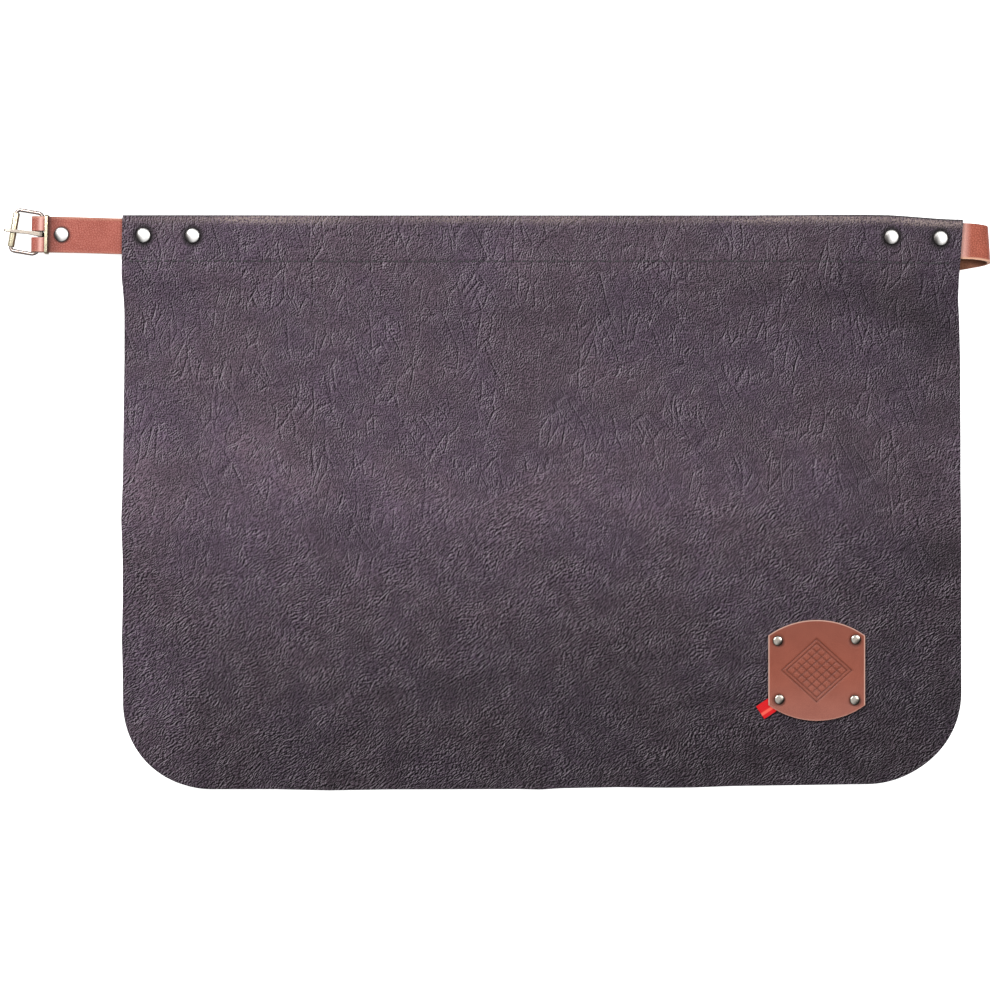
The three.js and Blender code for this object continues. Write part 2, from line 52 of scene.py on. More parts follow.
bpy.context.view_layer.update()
print("frame loaded:", len(frame["nodes"]), "nodes")


# Small helpers for meshes

def smoothStep(value, low, high):
    share = min(max((value - low) / (high - low), 0.0), 1.0)
    return share * share * (3 - 2 * share)


def readOff(table, place):
    return np.interp(place, *zip(*table))


def nodeTree(name):
    mesh = frame["nodes"][name].data
    return BVHTree.FromPolygons([v.co for v in mesh.vertices], [p.vertices for p in mesh.polygons])


def addPiece(name, bm, materials, body, stands=()):
    mesh = bpy.data.meshes.new(name)
    bm.to_mesh(mesh)
    bm.free()
    mesh.polygons.foreach_set("use_smooth", [True] * len(mesh.polygons))
    for material in materials:
        mesh.materials.append(material)
    piece = bpy.data.objects.new(name, mesh)
    scene.collection.objects.link(piece)
    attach(piece, body)
    if stands:
        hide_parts(*stands)
    print("made", name, len(mesh.polygons), "faces")
    return piece


def roundEdges(piece, rounding, segments):
    edge = piece.modifiers.new("edge", "BEVEL")
    edge.width = rounding * mm
    edge.segments = segments
    edge.profile = 0.5
    edge.limit_method = "ANGLE"
    edge.angle_limit = math.radians(50)
    edge.harden_normals = True


def thicken(piece, thickness, rounding, segments=2):
    wall = piece.modifiers.new("wall", "SOLIDIFY")
    wall.thickness = thickness * mm
    wall.offset = 0
    wall.use_even_offset = True
    wall.material_offset = 1  # inside of the bend
    wall.material_offset_rim = 2  # cut edge
    roundEdges(piece, rounding, segments)


def lathe(bm, line, centre, axis, steps, closed=False):
    verts = [bm.verts.new(point) for point in line]
    ends = verts[1:] + verts[:1] if closed else verts[1:]
    edges = [bm.edges.new(pair) for pair in zip(verts, ends)]
    turn = 2 * math.pi
    bmesh.ops.spin(bm, geom=verts + edges, cent=centre, axis=axis, angle=turn, steps=steps, use_merge=True)


def ofKind(geometry, kind):
    return [item for item in geometry if isinstance(item, kind)]


def gridOf(bm, columns, rows):
    bmesh.ops.create_grid(bm, x_segments=columns, y_segments=rows, size=1.0)
    places = {}
    for vert in bm.verts:
        i = round((vert.co.x + 1) / 2 * columns)
        j = round((vert.co.y + 1) / 2 * rows)
        places[i, j] = vert
    return places


def unwrap(bm, where):
    layer = bm.loops.layers.uv.new("leather")
    for face in bm.faces:
        for loop in face.loops:
            loop[layer].uv = where[loop.vert]


def setValues(piece, name, values):
    layer = piece.data.attributes.new(name, "FLOAT", "POINT")
    layer.data.foreach_set("value", values)


# Paths for straps: runs of points that are joined and measured along their length

def easeRun(start, end, steps=12):
    points = []
    for k in range(steps + 1):
        t = k / steps
        rise = (end[1] - start[1]) * smoothStep(t, 0, 1)
        points.append((start[0] + (end[0] - start[0]) * t, start[1] + rise))
    return points


def arcRun(centre, radius, fromAngle, toAngle, steps=24):
    points = []
    for k in range(steps + 1):
        angle = math.radians(fromAngle + (toAngle - fromAngle) * k / steps)
        points.append((centre[0] + radius * math.cos(angle), centre[1] + radius * math.sin(angle)))
    return points


class StrapPath:
    def __init__(self, *runs):
        self.points = np.array([point for run in runs for point in run], float)
        steps = np.linalg.norm(np.diff(self.points, axis=0), axis=1)
        keep = np.concatenate([[True], steps > 1e-6])
        self.points = self.points[keep]
        steps = np.linalg.norm(np.diff(self.points, axis=0), axis=1)
        self.reach = np.concatenate([[0], np.cumsum(steps)])
        self.length = self.reach[-1]

    def at(self, distance):
        u = np.interp(distance, self.reach, self.points[:, 0])
        z = np.interp(distance, self.reach, self.points[:, 1])
        if distance < 0:
            first = self.points[1] - self.points[0]
            u += distance * math.copysign(1, first[0])
        if distance > self.length:
            last = self.points[-1] - self.points[-2]
            u += (distance - self.length) * math.copysign(1, last[0])
        return u, z


# Small helpers for materials

def join(tree, value, socket):
    if isinstance(value, bpy.types.NodeSocket):
        tree.links.new(value, socket)
    else:
        socket.default_value = value


def node(tree, kind, sockets=None, **settings):
    made = tree.nodes.new("ShaderNode" + kind)
    for name, value in settings.items():
        setattr(made, name, value)
    for key, value in (sockets or {}).items():
        join(tree, value, made.inputs[key])
    return made


def calc(tree, operation, *values):
    return node(tree, "Math", dict(enumerate(values)), operation=operation).outputs[0]


def span(tree, value, low, high, toLow=0.0, toHigh=1.0):
    sockets = {"Value": value, "From Min": low, "From Max": high, "To Min": toLow, "To Max": toHigh}
    return node(tree, "MapRange", sockets, interpolation_type="SMOOTHSTEP").outputs[0]


def tint(tree, share, under, over):
    return node(tree, "Mix", {0: share, 6: under, 7: over}, data_type="RGBA").outputs[2]


def cloud(tree, place, scale, detail=2.0, roughness=0.5, dimensions="2D"):
    sockets = {"Vector": place, "Scale": scale, "Detail": detail, "Roughness": roughness}
    return node(tree, "TexNoise", sockets, noise_dimensions=dimensions).outputs[0]


def blended(tree, share, under, over):
    return node(tree, "Mix", {0: share, 2: under, 3: over}, data_type="FLOAT").outputs[0]


def laidAlong(tree, place, angle, stretch):
    sockets = {"Vector": place, "Rotation": (0, 0, math.radians(angle)), "Scale": (stretch, 1, 1)}
    return node(tree, "Mapping", sockets, vector_type="TEXTURE").outputs[0]


def wobbled(tree, place, scale, amount):
    sockets = {"Vector": place, "Scale": scale, "Detail": 1.0}
    drift = node(tree, "TexNoise", sockets, noise_dimensions="2D").outputs["Color"]
    centred = node(tree, "VectorMath", {0: drift, 1: (0.5, 0.5, 0.5)}, operation="SUBTRACT").outputs[0]
    scaled = node(tree, "VectorMath", {0: centred, "Scale": amount}, operation="SCALE").outputs[0]
    return node(tree, "VectorMath", {0: place, 1: scaled}, operation="ADD").outputs[0]


def cellEdges(tree, place, scale):
    sockets = {"Vector": place, "Scale": scale}
    made = node(tree, "TexVoronoi", sockets, feature="DISTANCE_TO_EDGE", voronoi_dimensions="2D")
    return made.outputs["Distance"]


def painted(tree, name):
    return node(tree, "Attribute", attribute_name=name).outputs["Fac"]


def unwrapped(tree, name):
    return node(tree, "UVMap", uv_map=name).outputs[0]


def startGroup(name, inputs, outputs):
    group = bpy.data.node_groups.new(name, "ShaderNodeTree")
    for label, kind, value in inputs:
        socket = group.interface.new_socket(label, in_out="INPUT", socket_type="NodeSocket" + kind)
        if value is not None:
            socket.default_value = value
    for label, kind in outputs:
        group.interface.new_socket(label, in_out="OUTPUT", socket_type="NodeSocket" + kind)
    return group, group.nodes.new("NodeGroupInput").outputs, group.nodes.new("NodeGroupOutput").inputs


def startMaterial(name):
    material = bpy.data.materials.new(name)
    material.use_nodes = True
    tree = material.node_tree
    tree.nodes.clear()
    surface = node(tree, "BsdfPrincipled")
    output = node(tree, "OutputMaterial")
    tree.links.new(surface.outputs[0], output.inputs["Surface"])
    place = node(tree, "TexCoord").outputs["Object"]
    return material, tree, surface, place


def bump(tree, surface, height, distance):
    made = node(tree, "Bump", {"Height": height, "Distance": distance})
    tree.links.new(made.outputs[0], surface.inputs["Normal"])


# Grain: small pebbles with a finer tooth; strokes that wander along one direction; a net of creases

def makePebbleGroup():
    group, given, result = startGroup(
        "pebbleGrain",
        [("Place", "Vector", None), ("Scale", "Float", 330.0), ("Tooth", "Float", 0.6)],
        [("Height", "Float")],
    )
    pebble = span(group, cellEdges(group, given["Place"], given["Scale"]), 0.0, 0.3)
    tooth = cloud(group, given["Place"], calc(group, "MULTIPLY", given["Scale"], 2.6), 1.0, 0.5)
    join(group, blended(group, given["Tooth"], pebble, span(group, tooth, 0.25, 0.75)), result["Height"])
    return group


def makeStrokeGroup():
    group, given, result = startGroup(
        "grainStrokes",
        [("Place", "Vector", None), ("Scale", "Float", 270.0), ("Width", "Float", 0.08)],
        [("Line", "Float")],
    )
    level = cloud(group, given["Place"], given["Scale"], 1.5, 0.5)
    away = calc(group, "ABSOLUTE", calc(group, "SUBTRACT", level, 0.5))
    join(group, span(group, away, 0.0, given["Width"], 1.0, 0.0), result["Line"])
    return group


def makeCreaseGroup():
    group, given, result = startGroup(
        "creaseLines",
        [("Place", "Vector", None), ("Scale", "Float", 90.0), ("Width", "Float", 0.1)],
        [("Line", "Float")],
    )
    away = cellEdges(group, given["Place"], given["Scale"])
    join(group, span(group, away, 0.0, given["Width"], 1.0, 0.0), result["Line"])
    return group


pebbleGroup = makePebbleGroup()
strokeGroup = makeStrokeGroup()
creaseGroup = makeCreaseGroup()


def useGroup(tree, group, sockets):
    return node(tree, "Group", sockets, node_tree=group).outputs[0]


# Panel leather

panelFinish = {
    "violet": (0.0715, 0.0462, 0.0715, 1),
    "brown": (0.0735, 0.0472, 0.0652, 1),
    # colour of the painted highlight where the grain catches the light
    "lip": (0.25, 0.218, 0.242, 1),
    # colour of the painted highlight along the top fold
    "highlit": (0.27, 0.21, 0.195, 1),
    "halo": (0.0056, 0.0094, 0.9),  # painted shadow ring round each hem rivet: from, to, darkness
    # dark for the fold's turn, the seam line and the painted shadow rings round the hem rivets
    "edge": (0.016, 0.013, 0.014, 1),
    # lower and upper tooth, strokes and creases: direction, stretch, scale, and depth or width
    "tooth": [(38, 1.9, 860.0, 2.0), (80, 1.25, 1000.0, 1.35)],
    "hatch": (38, 4.0, 290.0, 0.08),
    "longCrease": (118, 3.2, 92.0, 0.1),
    "crossCrease": (80, 2.6, 130.0, 0.13),
    "wobble": (24.0, 0.009),  # scale and reach of the bends in the lines
    "change": (-0.055, 0.045),  # Y where creases take over from strokes
    "changeDrift": (13.0, 0.22),  # scale and reach of that border's own wander
    "creasePatches": {"Long": (30.0, 1.3), "Cross": (38.0, 1.2)},  # scale, and depth where they are most seen
    "depth": 0.0003,
    "rub": (-0.00024, 0.00012, 0),  # half step between the two looks that light the lips of the grain
}
hemHeads = []  # middles of the hem rivets
for nodeName in frame["nodes"]:
    if nodeName.startswith("hem_rivet"):
        hemHeads.append(sum(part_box(nodeName), Vector()) / 2)


def makeReliefGroup():
    f = panelFinish
    group, given, result = startGroup(
        "hideRelief",
        [
            ("Place", "Vector", None),
            ("Way", "Float", 0.5),
            ("Hatch", "Float", 1.0),
            ("Long", "Float", 1.0),
            ("Cross", "Float", 1.0),
        ],
        [("Height", "Float"), ("Grain", "Float")],
    )
    lines = {}
    for kind in ("hatch", "longCrease", "crossCrease"):
        angle, stretch, scale, width = f[kind]
        sockets = {"Place": laidAlong(group, given["Place"], angle, stretch), "Scale": scale, "Width": width}
        lines[kind] = useGroup(group, strokeGroup if kind == "hatch" else creaseGroup, sockets)
    hairs = []
    for angle, stretch, scale, depth in f["tooth"]:
        hair = cloud(group, laidAlong(group, given["Place"], angle, stretch), scale, 1.0, 0.6)
        hairs.append(span(group, hair, 0.25, 0.75, 0.0, depth))
    tooth = blended(group, given["Way"], *hairs)
    grain = calc(group, "MULTIPLY_ADD", lines["hatch"], given["Hatch"], tooth)
    furrow = calc(group, "MULTIPLY", lines["longCrease"], given["Long"])
    furrow = calc(group, "MAXIMUM", furrow, calc(group, "MULTIPLY", lines["crossCrease"], given["Cross"]))
    join(group, calc(group, "SUBTRACT", grain, furrow), result["Height"])
    join(group, grain, result["Grain"])
    return group


reliefGroup = makeReliefGroup()


def moved(tree, place, step, way):
    offset = [way * value for value in step]
    return node(tree, "VectorMath", {0: place, 1: offset}, operation="ADD").outputs[0]


def makePanelLeather():
    f = panelFinish
    material, tree, surface, place = startMaterial("panelLeather")
    axes = node(tree, "SeparateXYZ", {0: place}).outputs
    hide = unwrapped(tree, "leather")
    bent = wobbled(tree, hide, *f["wobble"])

    # creases above, slanting strokes below
    driftScale, driftReach = f["changeDrift"]
    drift = calc(tree, "SUBTRACT", cloud(tree, hide, driftScale, 2.0), 0.5)
    level = calc(tree, "ADD", axes[1], calc(tree, "MULTIPLY", drift, driftReach))
    upper = span(tree, level, *f["change"])
    hatchShow = span(tree, cloud(tree, hide, 110.0, 2.0), 0.4, 0.6, 0.1, 1.0)
    hatchShow = calc(tree, "MULTIPLY", hatchShow, calc(tree, "MULTIPLY_ADD", upper, -0.75, 1.0))
    creaseShow = calc(tree, "MULTIPLY_ADD", upper, 0.6, 0.4)
    creases = {}
    for kind, (scale, most) in f["creasePatches"].items():
        seen = span(tree, cloud(tree, bent if kind == "Cross" else hide, scale, 3.0), 0.42, 0.64, 0.05, most)
        creases[kind] = calc(tree, "MULTIPLY", seen, creaseShow)
    looks = []
    for way in (1, -1):
        sockets = {
            "Place": moved(tree, bent, f["rub"], way),
            "Way": upper,
            "Hatch": hatchShow,
            **creases,
        }
        looks.append(node(tree, "Group", sockets, node_tree=reliefGroup).outputs)
    lip = calc(tree, "SUBTRACT", looks[1]["Height"], looks[0]["Height"])
    relief = calc(tree, "MULTIPLY", calc(tree, "ADD", looks[0]["Grain"], looks[1]["Grain"]), 0.5)

    # dye: violet and brown clouds, over random blotches and the soft painted light and shade of the lie
    hue = span(tree, cloud(tree, hide, 15.0, 4.0, 0.6), 0.36, 0.64)
    dye = tint(tree, hue, f["brown"], f["violet"])
    blotch = span(tree, cloud(tree, hide, 38.0, 4.0, 0.62), 0.28, 0.72, 0.87, 1.13)
    clump = span(tree, cloud(tree, hide, 290.0, 2.0, 0.6), 0.3, 0.7, 0.8, 1.2)
    lightAndTone = calc(tree, "MULTIPLY", calc(tree, "MULTIPLY", blotch, clump), painted(tree, "lightAndTone"))
    crisp = span(tree, cloud(tree, hide, 75.0, 2.0), 0.3, 0.7, 0.9, 2.0)
    lip = calc(tree, "MULTIPLY", lip, crisp)
    # painted shade in the grain's hollows and on the sides of the grain turned from the light
    grainTone = calc(tree, "MULTIPLY_ADD", relief, 0.55, 0.64)
    grainTone = calc(tree, "ADD", grainTone, calc(tree, "MINIMUM", lip, 0.0))
    shade = calc(tree, "MULTIPLY", lightAndTone, calc(tree, "MAXIMUM", grainTone, 0.1))
    coloured = node(tree, "VectorMath", {0: dye, "Scale": shade}, operation="SCALE").outputs[0]
    glint = calc(tree, "MULTIPLY_ADD", lightAndTone, 0.24, 0.12)
    lit = calc(tree, "MULTIPLY", calc(tree, "MAXIMUM", lip, 0.0), glint)
    coloured = tint(tree, lit, coloured, f["lip"])  # greyer where the grain catches the light

    # painted highlight along the top fold, speckled, with a dark turn at its very edge
    highlitFold = span(tree, cloud(tree, laidAlong(tree, hide, 0, 3.0), 40.0, 3.0), 0.35, 0.6, 0.5, 1.0)
    speckle = span(tree, cloud(tree, hide, 800.0, 2.0), 0.36, 0.64, 0.15, 1.2)
    highlitFold = calc(tree, "MULTIPLY", calc(tree, "MULTIPLY", highlitFold, painted(tree, "foldHighlight")), speckle)
    coloured = tint(tree, calc(tree, "MINIMUM", highlitFold, 1.0), coloured, f["highlit"])
    rim = painted(tree, "darkLine")
    flat = node(tree, "CombineXYZ", {0: axes[0], 1: axes[1]}).outputs[0]
    # painted shadow ring round each hem rivet
    ringFrom, ringTo, ringDark = f["halo"]
    for head in hemHeads:
        away = node(tree, "VectorMath", {0: flat, 1: (head.x, head.y, 0)}, operation="DISTANCE")
        rim = calc(tree, "MAXIMUM", rim, span(tree, away.outputs["Value"], ringFrom, ringTo, ringDark, 0.0))
    join(tree, tint(tree, rim, coloured, f["edge"]), surface.inputs["Base Color"])

    join(tree, span(tree, relief, 0.0, 1.0, 0.62, 0.46), surface.inputs["Roughness"])
    surface.inputs["Specular IOR Level"].default_value = 0.14
    bump(tree, surface, looks[0]["Height"], f["depth"])
    return material


# Raw backs and cut edges

def makeFleshSide(name, light, dark):
    material, tree, surface, place = startMaterial(name)
    nap = cloud(tree, place, 900.0, 3.0, 0.7, "3D")
    drift = cloud(tree, place, 60.0, 2.0, 0.5, "3D")
    share = span(tree, calc(tree, "ADD", nap, drift), 0.7, 1.3)
    join(tree, tint(tree, share, dark, light), surface.inputs["Base Color"])
    surface.inputs["Roughness"].default_value = 0.95
    surface.inputs["Sheen Weight"].default_value = 0.2
    bump(tree, surface, nap, 0.0004)
    return material


def makeCutEdge(name, light, dark):
    material, tree, surface, place = startMaterial(name)
    fibre = cloud(tree, place, 900.0, 3.0, 0.6, "3D")
    join(tree, tint(tree, span(tree, fibre, 0.35, 0.65), dark, light), surface.inputs["Base Color"])
    surface.inputs["Roughness"].default_value = 0.7
    bump(tree, surface, fibre, 0.00015)
    return material


# Strap and patch leather

strapFinish = {
    "deep": (0.245, 0.047, 0.028, 1),
    "light": (0.395, 0.116, 0.086, 1),
    "raw": (0.6, 0.33, 0.22, 1),
    # pale pink of the painted highlight
    "paintedHighlight": (0.78, 0.46, 0.4, 1),
    "shade": (0.035, 0.008, 0.005, 1),
    "grain": 560.0,
    "depth": 0.00018,
}
loopFinish = dict(strapFinish, deep=(0.215, 0.038, 0.016, 1), light=(0.375, 0.095, 0.056, 1))
patchFinish = {
    "deep": (0.183, 0.039, 0.0195, 1),
    "light": (0.283, 0.079, 0.047, 1),
    "raw": (0.5, 0.3, 0.24, 1),
    # colour of the painted light towards the bottom of the patch
    "paintedHighlight": (0.5, 0.27, 0.23, 1),
    "shade": (0.035, 0.008, 0.005, 1),
    "grain": 900.0,
    "depth": 0.00006,
}


def makeStrapLeather(title, finish):
    material, tree, surface, _ = startMaterial(title)
    hide = unwrapped(tree, "leather")
    grain = useGroup(tree, pebbleGroup, {"Place": hide, "Scale": finish["grain"]})
    drift = cloud(tree, hide, 75.0, 4.0, 0.6)
    mottle = calc(tree, "MULTIPLY_ADD", grain, 0.9, calc(tree, "MULTIPLY", drift, 0.5))
    coloured = tint(tree, span(tree, mottle, 0.4, 1.05), finish["deep"], finish["light"])
    # painted highlight, painted shade and the pale raw edge, from the piece's attributes
    for name in ("paintedHighlight", "shade", "raw"):
        coloured = tint(tree, painted(tree, name), coloured, finish[name])
    join(tree, coloured, surface.inputs["Base Color"])
    join(tree, span(tree, drift, 0.3, 0.7, 0.42, 0.56), surface.inputs["Roughness"])
    surface.inputs["Specular IOR Level"].default_value = 0.3
    bump(tree, surface, grain, finish["depth"])
    return material


# Metals, with painted shade on the faces that lean away from straight up

metalFinish = {
    "rivetNickel": {
        "bright": (0.95, 0.93, 0.9, 1),
        "dull": (0.86, 0.83, 0.8, 1),
        # colour of the painted shade
        "shadeColour": (0.05, 0.043, 0.04, 1),
        "sides": (0.25, 0.75),  # how far a face leans where the painted shade begins and is full
        "roughness": 0.42,
        "rimShade": True,  # painted shade from the piece's own rim attribute too
    },
    "agedNickel": {
        "bright": (0.62, 0.57, 0.5, 1),
        "dull": (0.45, 0.4, 0.34, 1),
        "shadeColour": (0.02, 0.014, 0.01, 1),
        "sides": (0.2, 0.7),
        "roughness": 0.2,
        "rimShade": True,
    },
    "wireNickel": {
        "bright": (0.4, 0.33, 0.3, 1),
        "dull": (0.3, 0.24, 0.21, 1),
        "shadeColour": (0.045, 0.03, 0.025, 1),
        "sides": (0.05, 0.42),
        "roughness": 0.32,
        "rimShade": False,
    },
    "prongNickel": {
        "bright": (0.4, 0.35, 0.3, 1),
        "dull": (0.32, 0.27, 0.22, 1),
        "shadeColour": (0.035, 0.025, 0.02, 1),
        "sides": (0.01, 0.17),
        "roughness": 0.3,
        "rimShade": False,
    },
    "paleBrass": {
        "bright": (0.8, 0.72, 0.52, 1),
        "dull": (0.73, 0.64, 0.44, 1),
        "shadeColour": (0.07, 0.045, 0.018, 1),
        "sides": (0.08, 0.5),
        "roughness": 0.26,
        "rimShade": False,
    },
}


def makeMetal(name):
    f = metalFinish[name]
    material, tree, surface, place = startMaterial(name)
    tarnish = span(tree, cloud(tree, place, 420.0, 3.0, 0.6, "3D"), 0.35, 0.7)
    coloured = tint(tree, tarnish, f["bright"], f["dull"])
    # painted shade from the rim attribute
    if f["rimShade"]:
        coloured = tint(tree, painted(tree, "rim"), coloured, f["shadeColour"])
    # painted shade on faces that lean away from upright
    upright = node(tree, "SeparateXYZ", {0: node(tree, "NewGeometry").outputs["Normal"]}).outputs[2]
    turnedAway = calc(tree, "SUBTRACT", 1.0, calc(tree, "ABSOLUTE", upright))
    coloured = tint(tree, span(tree, turnedAway, *f["sides"]), coloured, f["shadeColour"])
    join(tree, coloured, surface.inputs["Base Color"])
    surface.inputs["Metallic"].default_value = 1.0
    rough = span(tree, tarnish, 0.0, 1.0, f["roughness"], f["roughness"] + 0.12)
    join(tree, rough, surface.inputs["Roughness"])
    return material


# Thread and ribbon

def makeThread():
    material, tree, surface, place = startMaterial("hemThread")
    laid = laidAlong(tree, place, 55, 1.0)
    ply = node(tree, "TexWave", {"Vector": laid, "Scale": 420.0, "Distortion": 1.0}).outputs["Fac"]
    coloured = tint(tree, ply, (0.014, 0.012, 0.014, 1), (0.05, 0.043, 0.05, 1))
    join(tree, coloured, surface.inputs["Base Color"])
    surface.inputs["Roughness"].default_value = 0.6
    bump(tree, surface, ply, 0.00008)
    return material


def makeRibbon():
    material, tree, surface, _ = startMaterial("redRibbon")
    axes = node(tree, "SeparateXYZ", {0: unwrapped(tree, "ribbon")}).outputs
    wave = calc(tree, "SINE", calc(tree, "MULTIPLY", axes[1], 190.0))
    ribs = calc(tree, "ADD", 0.5, calc(tree, "MULTIPLY", wave, 0.5))
    red = tint(tree, ribs, (0.46, 0.002, 0.004, 1), (0.62, 0.004, 0.008, 1))
    stripe = calc(tree, "MULTIPLY", span(tree, axes[0], 0.52, 0.6), span(tree, axes[0], 0.72, 0.8, 1.0, 0.0))
    coloured = tint(tree, calc(tree, "MULTIPLY", stripe, 0.75), red, (0.78, 0.12, 0.08, 1))
    join(tree, coloured, surface.inputs["Base Color"])
    surface.inputs["Roughness"].default_value = 0.5
    surface.inputs["Specular IOR Level"].default_value = 0.2
    bump(tree, surface, ribs, 0.00008)
    return material


panelLeather = makePanelLeather()
panelFlesh = makeFleshSide("panelFlesh", (0.15, 0.125, 0.125, 1), (0.075, 0.06, 0.062, 1))
panelEdge = makeCutEdge("panelEdge", (0.05, 0.041, 0.044, 1), (0.016, 0.013, 0.014, 1))
strapLeather = makeStrapLeather("strapLeather", strapFinish)
loopLeather = makeStrapLeather("loopLeather", loopFinish)
strapFlesh = makeFleshSide("strapFlesh", (0.23, 0.088, 0.045, 1), (0.12, 0.04, 0.02, 1))
strapEdge = makeCutEdge("strapEdge", (0.55, 0.3, 0.2, 1), (0.32, 0.13, 0.08, 1))
patchLeather = makeStrapLeather("patchLeather", patchFinish)
patchEdge = makeCutEdge("patchEdge", (0.62, 0.42, 0.33, 1), (0.4, 0.24, 0.18, 1))
panelSides = [panelLeather, panelFlesh, panelEdge]  # face, back and cut edge
strapSides = [strapLeather, strapFlesh, strapEdge]
loopSides = [loopLeather, strapFlesh, strapEdge]
patchSides = [patchLeather, strapFlesh, patchEdge]
rivetMetal = makeMetal("rivetNickel")
agedMetal = makeMetal("agedNickel")
wireMetal = makeMetal("wireNickel")
prongMetal = makeMetal("prongNickel")
brassMetal = makeMetal("paleBrass")
thread = makeThread()
ribbonCloth = makeRibbon()
print("materials ready")


# Camera, straight above, and soft studio light

shot = {"pixel": 0.7, "centreX": 1.96, "centreY": -1.1, "height": 2000.0, "faceZ": 3.0, "sensor": 36.0}
lights = [  # place and size in metres, power in watts
    {"name": "keyLight", "at": (-1.3, 1.2, 1.8), "size": 1.0, "power": 56.0},
    {"name": "fillLight", "at": (1.3, 0.7, 1.8), "size": 1.1, "power": 22.0},
]
sky = {"above": 0.75, "horizon": 0.12, "from": 0.2, "to": 0.85}
paper = {"half": 3.0, "drop": 0.5, "glowFelt": 0.45, "glowSeen": 0.75}


def makeCamera():
    lens = bpy.data.cameras.new("camera")
    lens.sensor_width = shot["sensor"]
    lens.lens = shot["sensor"] * shot["height"] / (1000 * shot["pixel"])
    eye = bpy.data.objects.new("camera", lens)
    eye.location = Vector((shot["centreX"], shot["centreY"], shot["height"] + shot["faceZ"])) * mm
    scene.collection.objects.link(eye)
    scene.camera = eye


def makeLights():
    for row in lights:
        lamp = bpy.data.lights.new(row["name"], "AREA")
        lamp.size = row["size"]
        lamp.energy = row["power"]
        holder = bpy.data.objects.new(row["name"], lamp)
        holder.location = row["at"]
        holder.rotation_mode = "QUATERNION"
        holder.rotation_quaternion = (-Vector(row["at"])).to_track_quat("-Z", "Y")
        scene.collection.objects.link(holder)
    world = bpy.data.worlds.new("studio")
    world.use_nodes = True
    tree = world.node_tree
    tree.nodes.clear()
    height = node(tree, "SeparateXYZ", {0: node(tree, "TexCoord").outputs["Generated"]}).outputs[2]
    dome = span(tree, height, sky["from"], sky["to"], sky["horizon"], sky["above"])
    seen = node(tree, "Background", {"Color": (1, 1, 1, 1), "Strength": 1.0})
    felt = node(tree, "Background", {"Color": (0.97, 0.98, 1, 1), "Strength": dome})
    straight = node(tree, "LightPath").outputs["Is Camera Ray"]
    both = node(tree, "MixShader", {0: straight, 1: felt.outputs[0], 2: seen.outputs[0]})
    tree.links.new(both.outputs[0], node(tree, "OutputWorld").inputs["Surface"])
    scene.world = world


def makeFloor():
    bm = bmesh.new()
    bmesh.ops.create_grid(bm, x_segments=1, y_segments=1, size=paper["half"])
    mesh = bpy.data.meshes.new("floor")
    bm.to_mesh(mesh)
    bm.free()
    floor = bpy.data.objects.new("floor", mesh)
    floor.location.z = -paper["drop"] * mm
    material, tree, surface, _ = startMaterial("floorPaper")
    surface.inputs["Base Color"].default_value = (0.93, 0.93, 0.93, 1)
    surface.inputs["Roughness"].default_value = 0.9
    surface.inputs["Emission Color"].default_value = (1, 1, 1, 1)
    straight = node(tree, "LightPath").outputs["Is Camera Ray"]
    glow = blended(tree, straight, paper["glowFelt"], paper["glowSeen"])
    join(tree, glow, surface.inputs["Emission Strength"])
    mesh.materials.append(material)
    scene.collection.objects.link(floor)


scene.view_settings.view_transform = "Standard"
makeCamera()
makeLights()
makeFloor()


# Panel: one sheet, turned under at the top

